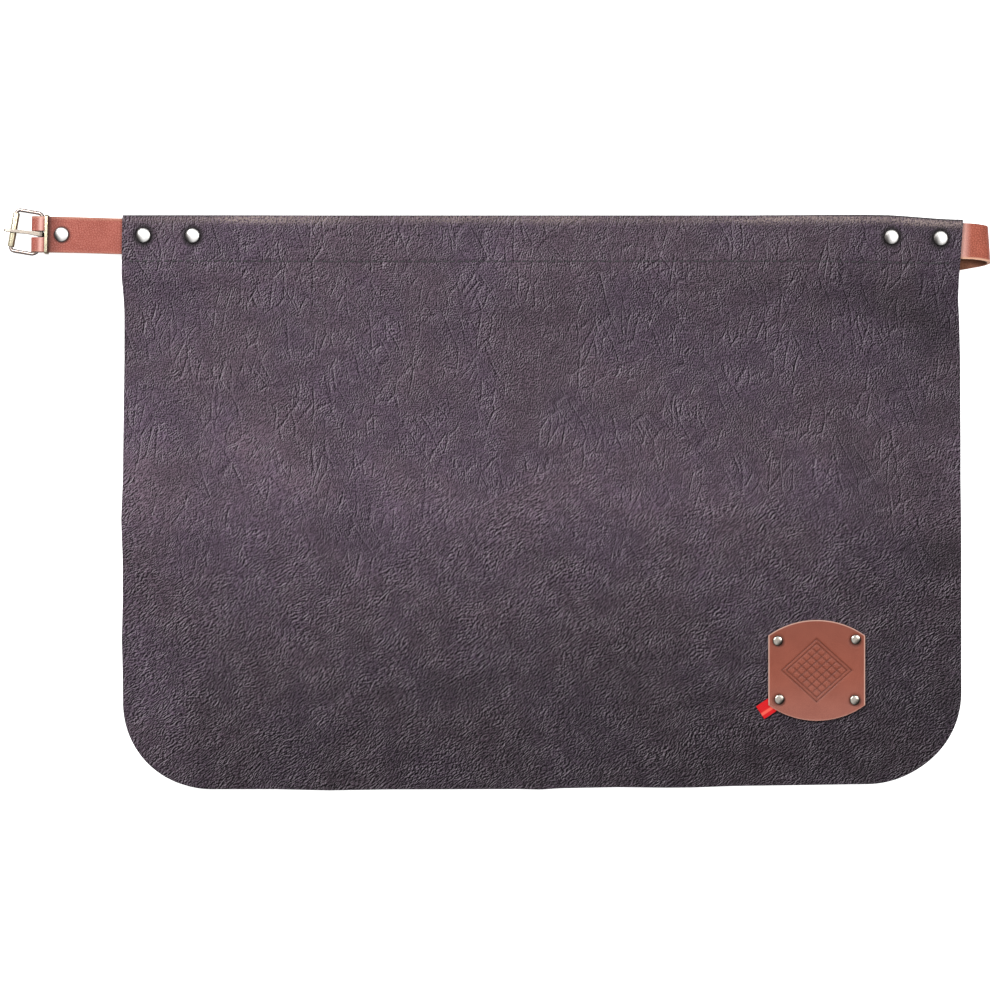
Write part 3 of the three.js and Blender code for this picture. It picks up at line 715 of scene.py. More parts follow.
panel = {
    "leather": 1.6,
    "rounding": 0.35,
    "columns": 208,
    "hemBack": 38.0,  # the turned-under part
    "backRows": 14,
    "foldRows": 10,
    "hemRows": [(0, 28, 14), (28, 37, 11), (37, 62, 13)],  # from, to, rows, below the fold
    "lowerRows": 122,
    "freeEdge": (-203.67, -198.47),  # at the left and right ends
    "freeSag": [  # X, and how far the lower edge hangs below its straight line
        (-225, 0), (-200, 0.6), (-155, 1.0), (-118, 2.2), (-75, 1.9), (15, 2.4), (30, 2.9), (45, 2.1),
        (85, 1.7), (118, 2.4), (138, 2.4), (165, 1.6), (260, 1.1), (310, 0.4),
    ],
    "corners": (60.0, 63.0),
    "leftEdge": [  # waves of the side edges: Y, and how far the edge lies to the right
        (-155, -0.5), (-127, -0.7), (-99, -1.4), (-71, -0.6), (-43, -0.5), (-15, -1.5), (13, -0.4),
        (41, -0.3), (69, 0), (97, 0.35), (131, 0.4), (156, -1.0), (198, -0.3),
    ],
    "rightEdge": [
        (-155, 1.2), (-99, 1.1), (-71, 0.85), (-15, 0.55), (13, 0.2), (41, 0.4), (97, 0.4),
        (125, -0.6), (140, -1.6), (153, -1.7), (194, 1.3),
    ],
    "edgeReach": 45.0,  # how far in the edges' waves are felt
    "seam": (165.9, 164.1),  # stitch line's Y in the middle and at the right end
    "seamTurn": (200, 324),  # X over which it drops
    "seamDepth": 0.4,
    "seamWidth": 1.2,
    "seamLine": (0.8, 0.32),  # half width and darkness
    "seamShows": (-200, -140),  # X over which the dark line comes up
    "rivetDip": (0.35, 4.5, 10),  # depth, and the radii between which it runs out
    "wave": 0.35,
    "waveEnds": (24, 8),  # how far below the seam the waves fade out
    "highlit": (3.0, 2.6),  # painted highlight: below the fold, and half width
    "highlitAlong": [  # painted highlight and dark turn of the fold: X, and how strong
        (-262, 0.25), (-200, 0.5), (-180, 1.1), (-120, 1.1), (-95, 0.35), (-30, 0.7), (40, 0.7),
        (75, 0.35), (165, 0.5), (185, 1.2), (300, 1.2), (324, 0.8),
    ],
    "darkAlong": [(-262, 0.7), (-190, 0.55), (-120, 0.6), (-105, 1.0), (324, 1.0)],
    "downLight": [  # painted light and shade of the lie, darker towards the bottom: Y, and its share
        (-204, 0.31), (-165, 0.35), (-135, 0.39), (-95, 0.52), (-70, 0.64), (-40, 0.71), (-20, 0.81),
        (-8, 0.92), (20, 1.0), (90, 1.0), (135, 0.9), (165, 0.98), (200, 1.0),
    ],
    # painted light, darker towards the right: X, and its share
    "acrossLight": [(-262, 1.09), (-100, 1.06), (60, 0.97), (200, 0.87), (324, 0.68)],
}
paintedLightSpots = [  # painted light and shade over soft folds: X, Y, half length, half height, direction in degrees, gain
    (285, 131, 52, 11, -14, -0.34),
    (212, 146, 44, 8, -3, -0.14),
    (70, 128, 105, 12, 0, -0.1),
    (-258, 107, 10, 10, 0, -0.2),
    (86, 84, 44, 9, 4, 0.1),
    (-170, 36, 24, 15, 20, 0.15),
    (-135, 14, 11, 14, 10, 0.15),
    (-72, -8, 10, 10, 0, 0.13),
    (-250, 34, 22, 42, 0, 0.1),
    (112, 1, 46, 9, 3, 0.13),
    (308, -40, 30, 17, 0, -0.25),
    (-28, -131, 40, 7, 5, -0.2),
    (82, -99, 30, 6, 22, -0.2),
    (60, -150, 40, 26, 0, -0.1),
    (170, -183, 45, 14, -4, -0.14),
    (-246, -155, 32, 48, 0, 0.62),
    (-150, -120, 46, 30, 30, 0.1),
    (306, 114, 24, 16, 0, -0.22),
    (30, 170, 52, 9, 0, 0.2),
    (-120, 153, 140, 8, 0, 0.1),
    (285, -62, 60, 50, 0, -0.12),
    (95, -85, 55, 22, 0, -0.08),
]


# painted light and shade of the lie at a point of the leather
def paintedLightAt(x, y):
    lightAndTone = readOff(panel["downLight"], y) * readOff(panel["acrossLight"], x)
    for spotX, spotY, length, height, direction, gain in paintedLightSpots:
        turn = math.radians(direction)
        along = (x - spotX) * math.cos(turn) + (y - spotY) * math.sin(turn)
        aside = (y - spotY) * math.cos(turn) - (x - spotX) * math.sin(turn)
        lightAndTone *= 1 + gain * math.exp(-((along / length) ** 2) - (aside / height) ** 2)
    return lightAndTone


def seamY(x):
    return panel["seam"][0] + (panel["seam"][1] - panel["seam"][0]) * smoothStep(x, *panel["seamTurn"])


def panelDistances():
    below = [0.0]
    for start, end, count in panel["hemRows"]:
        below += list(np.linspace(start, end, count + 1)[1:])
    return below


def roundCorner(x, y, left, right, bottom):
    for side, radius in ((-1, panel["corners"][0]), (1, panel["corners"][1])):
        middleX = left + radius if side < 0 else right - radius
        a = side * (x - middleX) / radius
        b = (bottom + radius - y) / radius
        if a > 0 and b > 0:
            x = middleX + side * radius * a * math.sqrt(1 - b * b / 2)
            y = bottom + radius - radius * b * math.sqrt(1 - a * a / 2)
            break
    return x, y


def panelCaster(middleX):
    tree = nodeTree("apron_panel")
    middle = Vector((middleX, 0, 0))

    def cast(x, y, z, direction):
        start = Vector((x, y, z)) * mm
        hit = tree.ray_cast(start, Vector(direction))[0]
        if hit is None:  # past the solid's edge
            inward = (middle - Vector((x, y, 0))).normalized() * 5
            hit = tree.ray_cast(start + inward * mm, Vector(direction))[0]
        return hit / mm

    return cast


def layPanel(spots, paint, left, right, top):
    cast = panelCaster((left + right) / 2)
    half, below = panel["leather"] / 2, panelDistances()
    backRows, lowerRows, columns = panel["backRows"], panel["lowerRows"], panel["columns"]
    front = backRows + panel["foldRows"]
    lineWidth, lineDark = panel["seamLine"]
    highlitAt, highlitWidth = panel["highlit"]

    def within(x):
        return min(max(x, left + 0.5), right - 0.5)

    def heightOf(x, y, side):  # the solid's face, or its back where side is -1
        return cast(within(x), y, 50 * side, (0, 0, -side)).z

    for i in range(columns + 1):
        x = left + (right - left) * i / columns
        backZ, faceZ = heightOf(x, top - 8, -1), heightOf(x, top - 8, 1)
        fold = cast(within(x), top + 50, (backZ + faceZ) / 2, (0, -1, 0)).y
        turn = (faceZ - backZ) / 2 - half
        centreY = fold - turn - half
        for j in range(backRows):
            y = fold - panel["hemBack"] + (centreY - fold + panel["hemBack"]) * j / backRows
            spots[j, i] = x, y, heightOf(x, y, -1) + half
        bottom = panel["freeEdge"][0] + (panel["freeEdge"][1] - panel["freeEdge"][0]) * i / columns
        bottom -= readOff(panel["freeSag"], x)
        down = [centreY - distance for distance in below]
        for k in range(lowerRows):
            down.append(centreY - below[-1] + (bottom - centreY + below[-1]) * (k + 1) / lowerRows)
        for j, y in enumerate(down, front):
            rx, ry = roundCorner(x, y, left, right, bottom)
            spots[j, i] = rx, ry, heightOf(rx, ry, 1) - half
            # painted highlight a little below the fold
            highlit = math.exp(-((fold - y - highlitAt) / highlitWidth) ** 2)
            seam = math.exp(-((y - seamY(x)) / lineWidth) ** 2)
            paint["foldHighlight"][j, i] = highlit * readOff(panel["highlitAlong"], x)
            paint["darkLine"][j, i] = lineDark * seam * smoothStep(x, *panel["seamShows"])
            # painted light and shade of the lie
            paint["lightAndTone"][j, i] = paintedLightAt(rx, ry)


def smoothed(heights, passes=10):
    for _ in range(passes):
        padded = np.pad(heights, 1, mode="edge")
        beside = padded[:-2, 1:-1] + padded[2:, 1:-1] + padded[1:-1, :-2] + padded[1:-1, 2:]
        heights = (beside + 4 * heights) / 8
    return heights


def turnFold(spots, paint, front):
    backRows, foldRows = panel["backRows"], panel["foldRows"]
    for i in range(spots.shape[1]):
        first, last = spots[backRows - 1, i], spots[front, i]
        turn = (last[2] - first[2]) / 2
        for k in range(foldRows):
            j = backRows + k
            angle = -math.pi / 2 + math.pi * k / foldRows
            out, up = math.cos(angle), math.sin(angle)
            spots[j, i] = last[0], last[1] + turn * out, first[2] + turn + turn * up
            paint["darkLine"][j, i] = smoothStep(out, 0.45, 0.75) * readOff(panel["darkAlong"], last[0])
            # painted highlight on the upper side of the fold
            paint["foldHighlight"][j, i] = 0.7 * smoothStep(up, 0.3, 1) * readOff(panel["highlitAlong"], last[0])


def finishLie(spots, front, left, right):
    heads = [(head / mm).xy for head in hemHeads]
    dip, dipFrom, dipTo = panel["rivetDip"]
    for j in range(spots.shape[0]):
        for i in range(spots.shape[1]):
            x, y, z = spots[j, i]
            nearLeft = 1 - smoothStep(x, left, left + panel["edgeReach"])
            nearRight = smoothStep(x, right - panel["edgeReach"], right)
            spots[j, i, 0] += nearLeft * readOff(panel["leftEdge"], y)
            spots[j, i, 0] += nearRight * readOff(panel["rightEdge"], y)
            if j < front:
                continue
            z -= panel["seamDepth"] * math.exp(-((y - seamY(x)) / panel["seamWidth"]) ** 2)
            for head in heads:
                away = math.hypot(x - head.x, y - head.y)
                z -= dip * (1 - smoothStep(away, dipFrom, dipTo))
            lift = noise.noise(Vector((x, y, 3)) / 60) + 0.5 * noise.noise(Vector((x, y, 9)) / 24)
            fadeFrom, fadeTo = [seamY(x) - distance for distance in panel["waveEnds"]]
            z += panel["wave"] * max(lift + 0.4, 0) * (1 - smoothStep(y, fadeFrom, fadeTo))
            spots[j, i, 2] = z


def makePanel():
    low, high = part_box("apron_panel")
    left, right, top = low.x / mm, high.x / mm, high.y / mm
    columns, front = panel["columns"], panel["backRows"] + panel["foldRows"]
    rows = front + len(panelDistances()) + panel["lowerRows"] - 1
    spots = np.zeros((rows + 1, columns + 1, 3))
    paint = {name: np.zeros((rows + 1, columns + 1)) for name in ("foldHighlight", "darkLine", "lightAndTone")}
    paint["lightAndTone"][:] = 1
    layPanel(spots, paint, left, right, top)
    spots[front:, :, 2] = smoothed(spots[front:, :, 2])  # takes the facets out of the lie of the leather
    turnFold(spots, paint, front)
    finishLie(spots, front, left, right)

    bm = bmesh.new()
    places = gridOf(bm, columns, rows)
    runs = spots[:, :, 1].copy()  # length along the hide, the same as Y on the front
    for j in range(front - 1, -1, -1):
        runs[j] = runs[j + 1] + np.linalg.norm(spots[j + 1] - spots[j], axis=1)
    for (i, j), vert in places.items():
        vert.co = Vector(spots[j, i]) * mm
    unwrap(bm, {vert: Vector((spots[j, i, 0], runs[j, i])) * mm for (i, j), vert in places.items()})
    bmesh.ops.reverse_faces(bm, faces=bm.faces[:])
    order = sorted(places, key=lambda key: places[key].index)
    piece = addPiece("apron_leather", bm, panelSides, "apron", ["apron_panel"])
    for name, values in paint.items():
        setValues(piece, name, [values[j, i] for i, j in order])
    thicken(piece, panel["leather"], panel["rounding"])
    return piece


panelPiece = makePanel()


# Hem stitches, sunk a little into the seam

stitch = {
    "pitch": 5.0,
    "length": 3.5,
    "radius": 0.7,
    "flat": 0.75,  # height to width
    "skew": 4,  # degrees off the seam
    "start": 3.0,
    "proud": {1: 0.1, -1: -0.48},  # on the face and on the back
}


def makeStitches():
    low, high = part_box("apron_panel")
    depsgraph = bpy.context.evaluated_depsgraph_get()
    lie = BVHTree.FromObject(panelPiece, depsgraph)
    bm = bmesh.new()
    count = int(((high.x - low.x) / mm - 2 * stitch["start"]) / stitch["pitch"])
    for k in range(count):
        x = low.x / mm + stitch["start"] + (k + 0.5) * stitch["pitch"]
        for side in (1, -1):
            start = Vector((x, seamY(x), 50 * side)) * mm
            hit = lie.ray_cast(start, Vector((0, 0, -side)))[0]
            place = Matrix.Translation(hit + Vector((0, 0, side * stitch["proud"][side] * mm)))
            halfLength, thick = stitch["length"] / 2 * mm, stitch["radius"] * mm
            shape = Matrix.Diagonal((halfLength, thick, stitch["radius"] * stitch["flat"] * mm, 1))
            turn = Matrix.Rotation(math.radians(stitch["skew"] * side), 4, "Z")
            bmesh.ops.create_uvsphere(bm, u_segments=8, v_segments=6, radius=1.0, matrix=place @ turn @ shape)
    return addPiece("hem_stitches", bm, [thread], "apron")


stitchPiece = makeStitches()


# Rivets: domed cap, post and flat back, spun round the post

rivet = {
    "steps": 40,
    "post": 1.5,
    "back": 4.0,  # radius of the flat back, less under a small cap
    "backInset": 0.4,
    "backThick": 0.9,
    "backEdge": 0.3,
    "skirt": 0.5,
    "skirtEdge": (0.25, 0.2),
    "domeSteps": 12,
    "fullness": 0.8,
}
caps = {  # rise of the dome, the side that its painted shade lies on, how dark that is, and the metal
    "hem": {"rise": 2.1, "rimShadeSide": (-0.97, -0.25), "rimShade": 0.96, "metal": rivetMetal},
    "patch": {"rise": 1.5, "rimShadeSide": (0.75, -0.65), "rimShade": 0.97, "metal": agedMetal},
}


def rivetLine(radius, bottom, under, top):
    r = rivet
    back = min(r["back"], radius - r["backInset"])
    skirtTop = under + r["skirt"]
    line = [(0, bottom), (back - r["backEdge"], bottom), (back, bottom + r["backEdge"])]
    line += [(back, bottom + r["backThick"]), (r["post"], bottom + r["backThick"]), (r["post"], under)]
    line += [(radius - r["skirtEdge"][0], under), (radius, under + r["skirtEdge"][1]), (radius, skirtTop)]
    for k in range(1, r["domeSteps"]):
        angle = math.radians(90 * k / r["domeSteps"])
        out = radius * math.cos(angle) ** r["fullness"]
        line.append((out, skirtTop + (top - skirtTop) * math.sin(angle)))
    return line + [(0, top)]


def makeRivet(name):
    cap = caps["patch" if name.startswith("patch") else "hem"]
    low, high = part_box(name)
    centre = (low + high) / 2
    radius = (high.x - low.x) / 2 / mm
    top, bottom = high.z / mm, low.z / mm
    under = top - cap["rise"]
    line = rivetLine(radius, bottom, under, top)
    axis = Vector((centre.x, centre.y, 0))
    bm = bmesh.new()
    points = [Vector((centre.x + r * mm, centre.y, z * mm)) for r, z in line]
    lathe(bm, points, axis, (0, 0, 1), rivet["steps"])
    bmesh.ops.remove_doubles(bm, verts=bm.verts[:], dist=0.01 * mm)
    bmesh.ops.recalc_face_normals(bm, faces=bm.faces[:])
    # rim: painted shade in a ring at the cap's edge, in a crescent on one side, and on the parts under the
    # cap
    rim = []
    for vert in bm.verts:
        away = (vert.co - axis).xy / mm / radius
        ring = 0.9 * smoothStep(away.length, 0.84, 0.98)
        rimShade = cap["rimShade"] * smoothStep(away.dot(Vector(cap["rimShadeSide"])), -0.1, 0.75)
        rim.append(max(ring, rimShade) if vert.co.z / mm > under - 0.1 else 0.3)
    piece = addPiece(name + "_cap", bm, [cap["metal"]], "apron", [name])
    setValues(piece, "rim", rim)


for rivetName in sorted(name for name in frame["nodes"] if "rivet" in name):
    makeRivet(rivetName)


# Buckle strap: out of the hem, over the heel bar and back under itself

jointOf = {joint["name"]: joint for joint in frame["joints"]}
heel = Vector(jointOf["buckle_swing"]["pos_m"])
rollerPlace = Vector(jointOf["roller_spin"]["pos_m"])
barAxis = Vector(jointOf["buckle_swing"]["axis"]).normalized()

strap = {"thick": 2.2, "half": 12.5, "rounding": 0.45, "step": 1.0}
buckleStrap = {
    "turn": -1.3,  # degrees
    "tuckedEnd": 119.6,  # along the strap from the heel bar
    "riseTo": 55.6,
    "hemZ": 4.1,
    "returnEnd": 22.0,
    "layer": 1.25,  # half the height between the two layers
    "foldLayer": 2.7,
    "pinch": (2.4, 10.9),
    "foldEnd": 2.7,
    "foldHalf": 12.4,
    "slotHalf": 2.3,
    "slotEnd": 3.3,
    "rivetAt": 14.9,
    "rivetShadowRing": (5.6, 0.7),  # radius and width of the painted shadow ring round the cap
}


def bendStrap(bm, stations, widths, halfAt, place, paint):
    layers = [bm.verts.layers.float.new(name) for name in ("shade", "raw", "paintedHighlight")]
    places = gridOf(bm, len(stations) - 1, len(widths) - 1)
    for (i, j), vert in places.items():
        vert.co = place(stations[i], widths[j] * halfAt(stations[i])) * mm
        for layer, value in zip(layers, paint(stations[i], widths[j])):
            vert[layer] = value
    where = {}
    for (i, j), vert in places.items():
        where[vert] = Vector((stations[i], widths[j] * strap["half"])) * mm
    unwrap(bm, where)
    return places


def makeBuckleStrap():
    s, barZ = buckleStrap, heel.z / mm
    upper, lower = barZ + s["layer"], barZ - s["layer"]
    foldUpper, foldLower = barZ + s["foldLayer"], barZ - s["foldLayer"]
    path = StrapPath(
        [(s["tuckedEnd"], s["hemZ"]), (s["riseTo"], s["hemZ"])],
        easeRun((s["riseTo"], s["hemZ"]), (s["returnEnd"], upper)),
        [(s["returnEnd"], upper), (s["pinch"][1], upper)],
        easeRun((s["pinch"][1], upper), (s["pinch"][0], foldUpper)),
        arcRun((-s["foldEnd"], barZ), s["foldLayer"], 90, 270),
        easeRun((s["pinch"][0], foldLower), (s["pinch"][1], lower)),
        [(s["pinch"][1], lower), (s["returnEnd"], lower)],
    )
    away = Vector((math.cos(math.radians(s["turn"])), math.sin(math.radians(s["turn"])), 0))
    side = Vector((-away.y, away.x, 0))

    def place(distance, width):
        u, z = path.at(distance)
        flat = heel / mm + away * u + side * width
        return Vector((flat.x, flat.y, z))

    slotMiddle = path.reach[np.argmin(path.points[:, 0])]
    stations = list(np.linspace(0, path.length, int(path.length / strap["step"])))
    slotReach = (path.points[:, 0] < s["slotEnd"]).nonzero()[0]
    slotFrom, slotTo = path.reach[slotReach[0]], path.reach[slotReach[-1]]
    stations = sorted(stations + [slotFrom, slotTo])
    slotShare = s["slotHalf"] / s["foldHalf"]
    widths = [-1, -0.95, -0.9, -0.8, -0.7] + list(np.linspace(-0.6, -slotShare, 8))
    widths += [0] + [-width for width in reversed(widths)]

    def halfAt(distance):
        narrow = smoothStep(distance, slotMiddle - 20, slotMiddle - 10)
        return strap["half"] + (s["foldHalf"] - strap["half"]) * narrow

    def paint(distance, across):
        u, z = path.at(distance)
        keeperShadow = 0  # painted shadow of the keeper, behind it
        if u > 5:
            keeperShadow = 0.8 * (1 - smoothStep(u, 5.6, 8)) + 0.4 * (1 - smoothStep(u, 7, 20))
        # painted shade where the strap goes under the hem
        hemShade = smoothStep(u, 55, 59)
        edge = 0.6 * smoothStep(abs(across), 0.95, 1)
        # pale raw-edge lines, stronger on the upper edge as a painted highlight and weaker in the keeper's
        # painted shadow
        light = 0.4 * smoothStep(across, 0.87, 0.93) + 0.15 * smoothStep(-across, 0.87, 0.93)
        paintedHighlight = 0.75 * math.exp(-((u - 0.5) / 1.5) ** 2) if z > barZ else 0  # painted highlight on the bend
        # painted shadow ring round the rivet cap
        fromRivet = math.hypot(u - s["rivetAt"], across * strap["half"])
        ring = 0.75 * math.exp(-((fromRivet - s["rivetShadowRing"][0]) / s["rivetShadowRing"][1]) ** 2)
        return min(max(keeperShadow + hemShade * 0.6 + edge, ring), 0.85), light * (1 - keeperShadow), paintedHighlight

    bm = bmesh.new()
    bendStrap(bm, stations, widths, halfAt, place, paint)
    inSlot = []
    for face in bm.faces:
        middle = face.calc_center_median() / mm - heel / mm
        u, w = middle.dot(away), middle.dot(side)
        if u < s["slotEnd"] and abs(w) < s["slotHalf"]:
            inSlot.append(face)
    bmesh.ops.delete(bm, geom=inSlot, context="FACES")
    bmesh.ops.reverse_faces(bm, faces=bm.faces[:])
    piece = addPiece("buckle_strap_leather", bm, strapSides, "apron", ["buckle_strap"])
    thicken(piece, strap["thick"], strap["rounding"])


makeBuckleStrap()


# Long strap: out of the hem, over in a loop and back under the sheet

longStrap = {
    "exit": (324.0, 179.93),  # middle of the strap where it leaves the hem
    "slope": -2.5,  # degrees, going out
    "back": 10.0,  # degrees, coming back
    "tuck": 62.0,
    "height": 6.6,
    "loopCentre": 76.0,
    "loopRadius": 4.3,
    "riseFrom": 64.0,
    "drop": (9.0, 2.6),  # starts this far before the bend, and how far the strap slips down in it
    "under": 545.0,
    "tip": 16.0,
    "tipHalf": 4.0,
    "holes": 7,
    "holePitch": 25.0,
    "firstHole": 60.0,
    "holeRadius": 2.0,
}


def makeLongStrap():
    s = longStrap
    lowZ = strap["thick"] / 2
    loopTop = lowZ + 2 * s["loopRadius"]
    path = StrapPath(
        [(0, s["height"]), (s["riseFrom"], s["height"])],
        easeRun((s["riseFrom"], s["height"]), (s["loopCentre"], loopTop)),
        arcRun((s["loopCentre"], lowZ + s["loopRadius"]), s["loopRadius"], 90, -90),
        [(s["loopCentre"], lowZ), (s["loopCentre"] - s["under"] - strap["half"], lowZ)],
    )
    skew = math.radians((s["back"] - s["slope"]) / 2)
    normal = math.radians((s["back"] + s["slope"]) / 2)
    across = Vector((math.cos(normal), math.sin(normal), 0))
    along = Vector((-across.y, across.x, 0))
    slope = math.radians(s["slope"])
    start = Vector((*s["exit"], 0)) - Vector((math.cos(slope), math.sin(slope), 0)) * s["tuck"]
    loopEnd = path.length - s["under"] - strap["half"]
    length = loopEnd + s["under"]

    def place(distance, width):
        turn = distance * math.cos(skew) + width * math.sin(skew)
        slip = width * math.cos(skew) - distance * math.sin(skew)
        bendStart = loopEnd - math.pi * s["loopRadius"]
        slip -= s["drop"][1] * smoothStep(turn, bendStart - s["drop"][0], loopEnd + 2)
        u, z = path.at(turn)
        flat = start + across * u + along * slip
        return Vector((flat.x, flat.y, z))

    def halfAt(distance):
        intoTip = max(0, (distance - length + s["tip"]) / s["tip"])
        return s["tipHalf"] + (strap["half"] - s["tipHalf"]) * math.sqrt(max(0, 1 - intoTip ** 2))

    holes = [length - s["firstHole"] - k * s["holePitch"] for k in range(s["holes"])]
    stations = list(np.linspace(0, loopEnd + 8, 110))
    stations += list(np.arange(loopEnd + 14, min(holes) - 8, 8.0))
    stations += list(np.arange(min(holes) - s["holePitch"] / 5, max(holes) + 6, s["holePitch"] / 5))
    tipStart = length - s["tip"]
    stations += list(np.arange(max(holes) + 8, tipStart, 8.0))
    stations += [tipStart + s["tip"] * math.sin(math.radians(90 * k / 9)) for k in range(10)]
    widths = [-1, -0.95, -0.9, -0.85, -0.75, -0.5, -0.25, 0, 0.25, 0.5, 0.75, 0.85, 0.9, 0.95, 1]

    def paint(distance, across):
        outside = smoothStep(distance, s["tuck"] - 3, s["tuck"])
        outside *= 1 - smoothStep(distance, loopEnd, loopEnd + 12)
        raw = smoothStep(-across, 0.86, 0.95) * outside
        # painted highlight on the strap just out of the hem
        paintedHighlight = 0.55 * outside * (1 - smoothStep(distance, s["tuck"] + 1, s["tuck"] + 8))
        return 0.5 * smoothStep(across, 0.95, 1), raw, paintedHighlight

    bm = bmesh.new()
    places = bendStrap(bm, stations, widths, halfAt, place, paint)
    middleRow = len(widths) // 2
    for hole in holes:
        i = int(np.argmin(np.abs(np.array(stations) - hole)))
        made = bmesh.ops.bevel(
            bm,
            geom=[places[i, middleRow]],
            offset=s["holeRadius"] * mm,
            offset_type="OFFSET",
            segments=4,
            profile=0.5,
            affect="VERTICES",
            material=-1,
        )
        ring = [face for face in made["faces"] if len(face.verts) > 8]
        bmesh.ops.delete(bm, geom=ring, context="FACES")
    piece = addPiece("long_strap_leather", bm, loopSides, "apron", ["long_strap"])
    thicken(piece, strap["thick"], strap["rounding"])


makeLongStrap()


# Buckle: bent wire frame, roller and prong, in the buckle's own axes

lengthwise = (heel - rollerPlace).normalized()
buckleAxes = Matrix((lengthwise, barAxis, lengthwise.cross(barAxis))).transposed().to_4x4()
buckleToWorld = Matrix.Translation(heel) @ buckleAxes

buckle = {
    "wire": 1.3,
    "sides": 20,
    "rails": 29.0,
    "heelBend": 4.4,
    "rollerBend": 2.6,
    "roller": 2.4,
    "rollerLength": 24.0,
    "rollerBore": 1.6,
    "rollerEdge": 0.45,
    "rollerSteps": 36,
    "bendSteps": 9,
}
barSpacing = (heel - rollerPlace).length / mm


def inPlace(bm):
    bmesh.ops.scale(bm, vec=(mm, mm, mm), verts=bm.verts[:])
    bmesh.ops.transform(bm, matrix=buckleToWorld, verts=bm.verts[:])
    bmesh.ops.recalc_face_normals(bm, faces=bm.faces[:])


def makeWire():
    b = buckle
    half = b["rails"] / 2
    bm = bmesh.new()
    facing = Matrix.Rotation(math.radians(90), 4, "X")
    ring = bmesh.ops.create_circle(bm, segments=b["sides"], radius=b["wire"], matrix=facing)["verts"]
    ring = list(dict.fromkeys(edge for vert in ring for edge in vert.link_edges))
    corners = [  # corner of the frame, its bend, and the way that leads into it
        ((0, half), b["heelBend"], (0, 1)),
        ((-barSpacing, half), b["rollerBend"], (-1, 0)),
        ((-barSpacing, -half), b["rollerBend"], (0, -1)),
        ((0, -half), b["heelBend"], (1, 0)),
    ]
    at = Vector((0, 0))
    for corner, bend, way in corners:
        way = Vector(way)
        run = Vector(corner) - way * bend - at
        made = bmesh.ops.extrude_edge_only(bm, edges=ring)["geom"]
        bmesh.ops.translate(bm, vec=(*run, 0), verts=ofKind(made, bmesh.types.BMVert))
        ring = [edge for edge in ofKind(made, bmesh.types.BMEdge) if edge.is_boundary]
        inward = Vector((-way.y, way.x))
        pivot = Vector(corner) - way * bend + inward * bend
        made = bmesh.ops.spin(
            bm,
            geom=ring,
            cent=(*pivot, 0),
            axis=(0, 0, 1),
            angle=math.pi / 2,
            steps=b["bendSteps"],
            use_merge=False,
        )["geom_last"]
        ring = ofKind(made, bmesh.types.BMEdge)
        at = Vector(corner) + inward * bend
    made = bmesh.ops.extrude_edge_only(bm, edges=ring)["geom"]
    bmesh.ops.translate(bm, vec=(-at.x, -at.y, 0), verts=ofKind(made, bmesh.types.BMVert))
    bmesh.ops.remove_doubles(bm, verts=bm.verts[:], dist=0.02)
    inPlace(bm)
    addPiece("buckle_wire", bm, [wireMetal], "buckle", ["buckle_frame"])


def makeRoller():
    b = buckle
    half, edge = b["rollerLength"] / 2, b["rollerEdge"]
    line = [(b["rollerBore"], -half), (b["roller"] - edge, -half)]
    for k in range(1, 5):
        angle = math.radians(90 * k / 4)
        line.append((b["roller"] - edge + edge * math.sin(angle), -half + edge - edge * math.cos(angle)))
    line += [(r, -y) for r, y in reversed(line)]
    bm = bmesh.new()
    points = [Vector((r - barSpacing, y, 0)) for r, y in line]
    lathe(bm, points, (-barSpacing, 0, 0), (0, 1, 0), b["rollerSteps"], closed=True)
    bmesh.ops.remove_doubles(bm, verts=bm.verts[:], dist=0.005)
    inPlace(bm)
    addPiece("buckle_roller_tube", bm, [brassMetal], "roller", ["buckle_roller"])


prong = {
    "width": 2.5,
    "rootWidth": 3.2,
    "thick": 2.0,
    "eye": 1.6,
    "eyeOuter": 2.9,
    "eyeTurn": 290,  # degrees of wrap round the bar
    "rootEnd": 5.0,
    "stations": (3.2, 7.0, 14.0, 19.8, 23.8),  # from the bar
    "reach": 25.4,
    "tip": (0.45, 0.75),  # share of the thickness and width left there
    "overRoller": 2.7,
    "rounding": 0.98,
    "lean": 2.9,  # degrees, from the play in its eye
}


def makeProng():
    p = prong
    half, root = p["width"] / 2, p["rootWidth"] / 2
    slope = (p["overRoller"] + p["thick"] - p["eyeOuter"]) / barSpacing
    bm = bmesh.new()
    spots = [(0, -root, p["eye"]), (0, root, p["eye"]), (0, root, p["eyeOuter"]), (0, -root, p["eyeOuter"])]
    start = bm.faces.new([bm.verts.new(spot) for spot in spots])
    wrap = math.radians(p["eyeTurn"])
    bmesh.ops.spin(bm, geom=[start], cent=(0, 0, 0), axis=(0, 1, 0), angle=wrap, steps=20, use_merge=False)
    face = start
    for distance in (*p["stations"], p["reach"]):
        face = ofKind(bmesh.ops.extrude_face_region(bm, geom=[face])["geom"], bmesh.types.BMFace)[0]
        thickShare, widthShare = p["tip"] if distance == p["reach"] else (1, 1)
        wide = root if distance < p["rootEnd"] else half * widthShare
        centre = p["eyeOuter"] + slope * distance - p["thick"] / 2
        for vert in face.verts:
            upper = vert.co.z > sum(v.co.z for v in face.verts) / 4
            vert.co.x = -distance
            vert.co.y = math.copysign(wide, vert.co.y)
            vert.co.z = centre + (thickShare if upper else -thickShare) * p["thick"] / 2
    inner = [f for f in bm.faces if len(f.edges) == 4 and all(len(e.link_faces) > 2 for e in f.edges)]
    bmesh.ops.delete(bm, geom=inner, context="FACES")
    bmesh.ops.rotate(bm, matrix=Matrix.Rotation(math.radians(p["lean"]), 3, "Z"), verts=bm.verts[:])
    inPlace(bm)
    piece = addPiece("buckle_prong_bar", bm, [prongMetal], "prong", ["buckle_prong"])
    roundEdges(piece, p["rounding"], 4)


